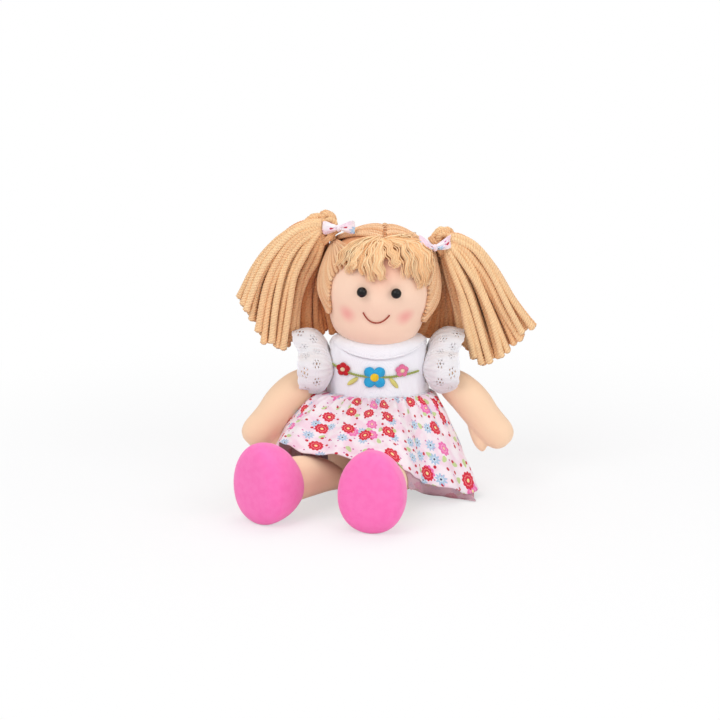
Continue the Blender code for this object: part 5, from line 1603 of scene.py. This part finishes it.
def makeBow(side):
    slanted = Matrix.Rotation(math.radians(bow["slant"][side]), 4, "Y")
    outwards = Matrix.Rotation(math.radians(bow["outwards"] * side), 4, "Z")
    place = Matrix.Translation(Vector(bow["place"][side])) @ slanted @ outwards
    bm = makeGrid(48, 24)
    mapCloth(bm, lambda spot: (spot.x * bow["width"] + 0.1 + side * 0.037, spot.y * bow["high"] * 1.6 + 0.3))
    for vert in bm.verts:
        x, z = vert.co.x * 2, vert.co.y * 2
        spread = bow["pinch"] + (1 - bow["pinch"]) * min(abs(x) * 1.25, 1) ** 0.8
        puff = -bow["puff"] * math.sin(math.pi * min(abs(x), 1)) * (1 - z*z) - bow["forward"]
        pleat = bow["pleat"] * math.cos(z * 7.5) * (1 - min(abs(x) * 1.3, 1))
        flop = bow["flop"] * math.sin(z * 2.5 + x) * abs(x)
        high = z * bow["high"] / 2 * spread + bow["lift"][side] * abs(x) ** 1.2
        vert.co = place @ Vector((x * bow["width"] / 2, puff + pleat + flop, high))
    loops = addPiece(sideName[side] + "_cloth_bow", bm, printSmall, None)
    area = thicken(loops, "head", sideName[side] + "_bow", bow["cloth"], rounding)
    form = ball(Vector(), bow["knot"])
    mapCloth(form, lambda spot: (spot.x + 0.2, spot.z + 0.11))
    for vert in form.verts:
        vert.co.y += bow["knotCrease"] * math.sin(vert.co.x * 3800) - bow["knotForward"]
    bmesh.ops.transform(form, matrix=place, verts=form.verts)
    knot = addPiece(sideName[side] + "_bow_knot", form, printSmall, "head")
    declareSheet(loops, bow["width"] * 1.05, area)


for side in sides:
    makeBow(side)


# Embroidery: satin stitches laid side by side

embroidery = {
    "stem": [
        (-0.0338, 0.0938), (-0.0262, 0.0905), (-0.0170, 0.0874), (-0.0027, 0.0858), (0.0140, 0.0864), (0.0282, 0.0886),
    ],
    # flowers as place across and up, radius, petals and first angle; leaves as place and lean
    "red": (-0.0243, 0.0904, 0.0046, 5, 90), "blue": (-0.0027, 0.0859, 0.0083, 4, 45),
    "pink": (0.0163, 0.0901, 0.0044, 5, 90), "petalReach": 0.58, "petalLong": 0.92, "petalWide": {5: 0.98, 4: 0.92},
    "leaves": {right: (-0.0180, 0.0823, 38), left: (0.0108, 0.0815, -52)}, "leafLong": 0.0092, "leafWide": 0.0030,
    "stitch": 0.00030, "thread": 0.00022, "stemPly": 0.00042, "stemTwist": 0.0034, "stemThread": 0.00048,
    # how far the ends of a stitch and its middle stand out
    "stemOut": 0.0008, "leafOut": (0.0004, 0.0006), "petalOut": (0.0010, 0.0009), "middleOut": (0.0019, 0.0008),
}


def satin(start, end, low, puff):
    route = []
    for k in range(5):
        x, z = start + (end - start) * (k / 4)
        route.append(bodiceSkin(x, z, low + puff * math.sin(math.pi * k / 4) ** 0.7))
    return route


def embroider(name, node, colour, middle, turn, long, wide, low, puff):
    addStitches(name, node, colour, ovalStitches(middle, turn, long, wide, low, puff))


def addStitches(name, node, colour, stitches):
    addThreads(name, stitches, embroidery["thread"], floss[colour], "torso", 5, node=node)


def ovalStitches(middle, turn, long, wide, low, puff):
    stitches = []
    along = Vector((math.cos(turn), math.sin(turn)))
    across = Vector((-along.y, along.x))
    count = max(4, round(long / embroidery["stitch"]))
    for k in range(count + 1):
        part = 2 * k / count - 1
        half = wide / 2 * math.sqrt(max(1 - part**2, 0.02))
        spot = Vector(middle) + along * part * long / 2
        stitches.append(satin(spot - across * half, spot + across * half, low, puff * math.sqrt(max(1 - part**2, 0.05))))
    return stitches


def makeFlower(name, centreColour, centreShare):
    across, height, radius, petals, start = embroidery[name]
    reach, long, wide = (radius * share for share in (
        embroidery["petalReach"], embroidery["petalLong"], embroidery["petalWide"][petals]
    ))
    stitches = []
    for k in range(petals):
        turn = math.radians(start) + 2*math.pi * k / petals
        middle = (across + math.cos(turn) * reach, height + math.sin(turn) * reach)
        stitches += ovalStitches(middle, turn, long, wide, *embroidery["petalOut"])
    addStitches(name + "_embroidered_flower", name + "_flower", name, stitches)
    size = radius * centreShare * 2
    middle = (across, height)
    node = name + "_flower_centre"
    embroider(name + "_flower_middle", node, centreColour, middle, 0.6, size, size, *embroidery["middleOut"])


def makeStem():
    places = smoothRoute(embroidery["stem"], 14)
    path = evenRoute([bodiceSkin(x, z, embroidery["stemOut"]) for x, z in places], 0.0005)
    plies = twistedPlies(path, 2, embroidery["stemPly"], embroidery["stemTwist"])
    addThreads("embroidered_stem", plies, embroidery["stemThread"], floss["stem"], "torso", node="stem")
    long, wide = embroidery["leafLong"], embroidery["leafWide"]
    for side in sides:
        across, height, lean = embroidery["leaves"][side]
        name, node = sideName[side] + "_embroidered_leaf", sideName[side] + "_leaf"
        embroider(name, node, "leaf", (across, height), math.radians(lean), long, wide, *embroidery["leafOut"])


makeStem()
makeFlower("red", "pale", 0.30)
makeFlower("blue", "yellow", 0.34)
makeFlower("pink", "pale", 0.30)


# Closure at the back: two tape tabs across the panels

tabs = {
    "width": 0.010, "height": 0.008, "thick": 0.0009, "heights": {"lower": 0.0780, "upper": 0.0910},
    "out": 0.0009, "pressed": 0.0003, "bevel": 0.0002, "stitches": 22, "stitchReach": (0.42, 0.40),
    "stitchHalf": 0.0004, "stitchOut": 0.0014,
}


def makeTab(name):
    bm = makeGrid(20, 16)
    low = tabs["heights"][name]
    for vert in bm.verts:
        x, z = dress["backSplit"] + vert.co.x * tabs["width"], low + vert.co.y * tabs["height"]
        corner = max(abs(vert.co.x), abs(vert.co.y)) * 2
        vert.co = bodiceSkin(x, z, tabs["out"] - tabs["pressed"] * corner ** 6, 1)
    bmesh.ops.recalc_face_normals(bm, faces=bm.faces)
    piece = addPiece(name + "_hook_tab", bm, hookTape, None)
    bevel = ("BEVEL", {"width": tabs["bevel"], "segments": 2, "limit_method": "ANGLE"})
    area = thicken(piece, "torso", name + "_back_tab", tabs["thick"], bevel)
    stitches = []
    for turn in turns(tabs["stitches"])[:-1]:
        spot = Vector((math.cos(turn), math.sin(turn)))
        spot /= max(abs(spot.x), abs(spot.y))
        x = dress["backSplit"] + spot.x * tabs["width"] * tabs["stitchReach"][0]
        z = low + spot.y * tabs["height"] * tabs["stitchReach"][1]
        wide, high = abs(spot.y) * tabs["stitchHalf"], abs(spot.x) * tabs["stitchHalf"]
        stitches.append([bodiceSkin(x + wide * way, z + high * way, tabs["stitchOut"], 1) for way in (-1, 1)])
    thread = addThreads(name + "_tab_stitches", stitches, dress["fineThread"], whiteCotton, "torso", 5)
    declareSheet(piece, tabs["width"], area)


for name in tabs["heights"]:
    makeTab(name)
print("dress made")


# Floor, light and camera

studio = {
    "target": (-0.013, 0.0, 0.093), "distance": 1.150, "elevation": 12, "lens": 80,
    "worldStrength": 0.55, "keyPower": 9.0, "fillPower": 4.0, "topPower": 6.0,
}


def makeStage():
    bm = bmesh.new()
    bmesh.ops.create_grid(bm, x_segments=1, y_segments=1, size=6)
    mesh = bpy.data.meshes.new("floor")
    bm.to_mesh(mesh)
    bm.free()
    floor = bpy.data.objects.new("floor", mesh)
    bpy.context.scene.collection.objects.link(floor)
    made = bpy.data.materials.new("paleFloor")
    made.use_nodes = True
    tree = made.node_tree
    tree.nodes.remove(tree.nodes["Principled BSDF"])
    rays = tree.nodes.new("ShaderNodeLightPath")
    seen = calc(tree, "MAXIMUM", rays.outputs["Is Camera Ray"],
        calc(tree, "MAXIMUM", rays.outputs["Is Glossy Ray"], rays.outputs["Is Transmission Ray"]))
    diffuse = addNode(tree, "BsdfDiffuse", Color=(0.92, 0.92, 0.93, 1))
    lit = addNode(tree, "Emission", Color=(1, 1, 1, 1), Strength=1.0)
    place = addNode(tree, "SeparateXYZ", i0=objectPlace(tree))
    reach = calc(tree, "SQRT", plus(tree, calc(tree, "POWER", place.outputs["X"], 2.0),
        calc(tree, "POWER", place.outputs["Y"], 2.0)))
    both = addNode(tree, "MixShader", Fac=times(tree, seen, ease(tree, reach, 0.16, 0.55, 0.58, 1.0)))
    tree.links.new(diffuse.outputs[0], both.inputs[1])
    tree.links.new(lit.outputs[0], both.inputs[2])
    tree.links.new(both.outputs[0], tree.nodes["Material Output"].inputs["Surface"])
    mesh.materials.append(made)


def makeWorld():
    world = bpy.data.worlds.new("studio")
    bpy.context.scene.world = world
    world.use_nodes = True
    tree = world.node_tree
    rays = tree.nodes.new("ShaderNodeLightPath")
    seen = calc(tree, "MAXIMUM", rays.outputs["Is Camera Ray"],
        calc(tree, "MAXIMUM", rays.outputs["Is Glossy Ray"], rays.outputs["Is Transmission Ray"]))
    strength = plus(tree, times(tree, seen, 1 - studio["worldStrength"]), studio["worldStrength"])
    plug(tree, tree.nodes["Background"].inputs["Color"], (1, 1, 1, 1))
    plug(tree, tree.nodes["Background"].inputs["Strength"], strength)


def addLamp(name, spot, size, power):
    lamp = bpy.data.lights.new(name, "AREA")
    lamp.size = size
    lamp.energy = power
    holder = bpy.data.objects.new(name, lamp)
    holder.location = spot
    holder.rotation_euler = (Vector((0, 0, 0.08)) - Vector(spot)).to_track_quat("-Z", "Y").to_euler()
    bpy.context.scene.collection.objects.link(holder)


def makeCamera():
    camera = bpy.data.objects.new("camera", bpy.data.cameras.new("camera"))
    camera.data.lens = studio["lens"]
    camera.data.sensor_width = 36
    camera.data.sensor_fit = "HORIZONTAL"
    camera.data.clip_start = 0.01
    target = Vector(studio["target"])
    rise = math.radians(studio["elevation"])
    camera.location = target + Vector((0, -math.cos(rise), math.sin(rise))) * studio["distance"]
    camera.rotation_euler = (target - camera.location).to_track_quat("-Z", "Y").to_euler()
    bpy.context.scene.collection.objects.link(camera)
    bpy.context.scene.camera = camera


makeStage()
makeWorld()
addLamp("keyLamp", (-0.7, -1.0, 1.3), 0.9, studio["keyPower"])
addLamp("fillLamp", (0.9, -0.9, 0.7), 0.9, studio["fillPower"])
addLamp("topLamp", (0.1, 0.4, 1.5), 0.9, studio["topPower"])
makeCamera()
bpy.context.scene.view_settings.view_transform = "Standard"
bpy.context.view_layer.update()
print("stage made")
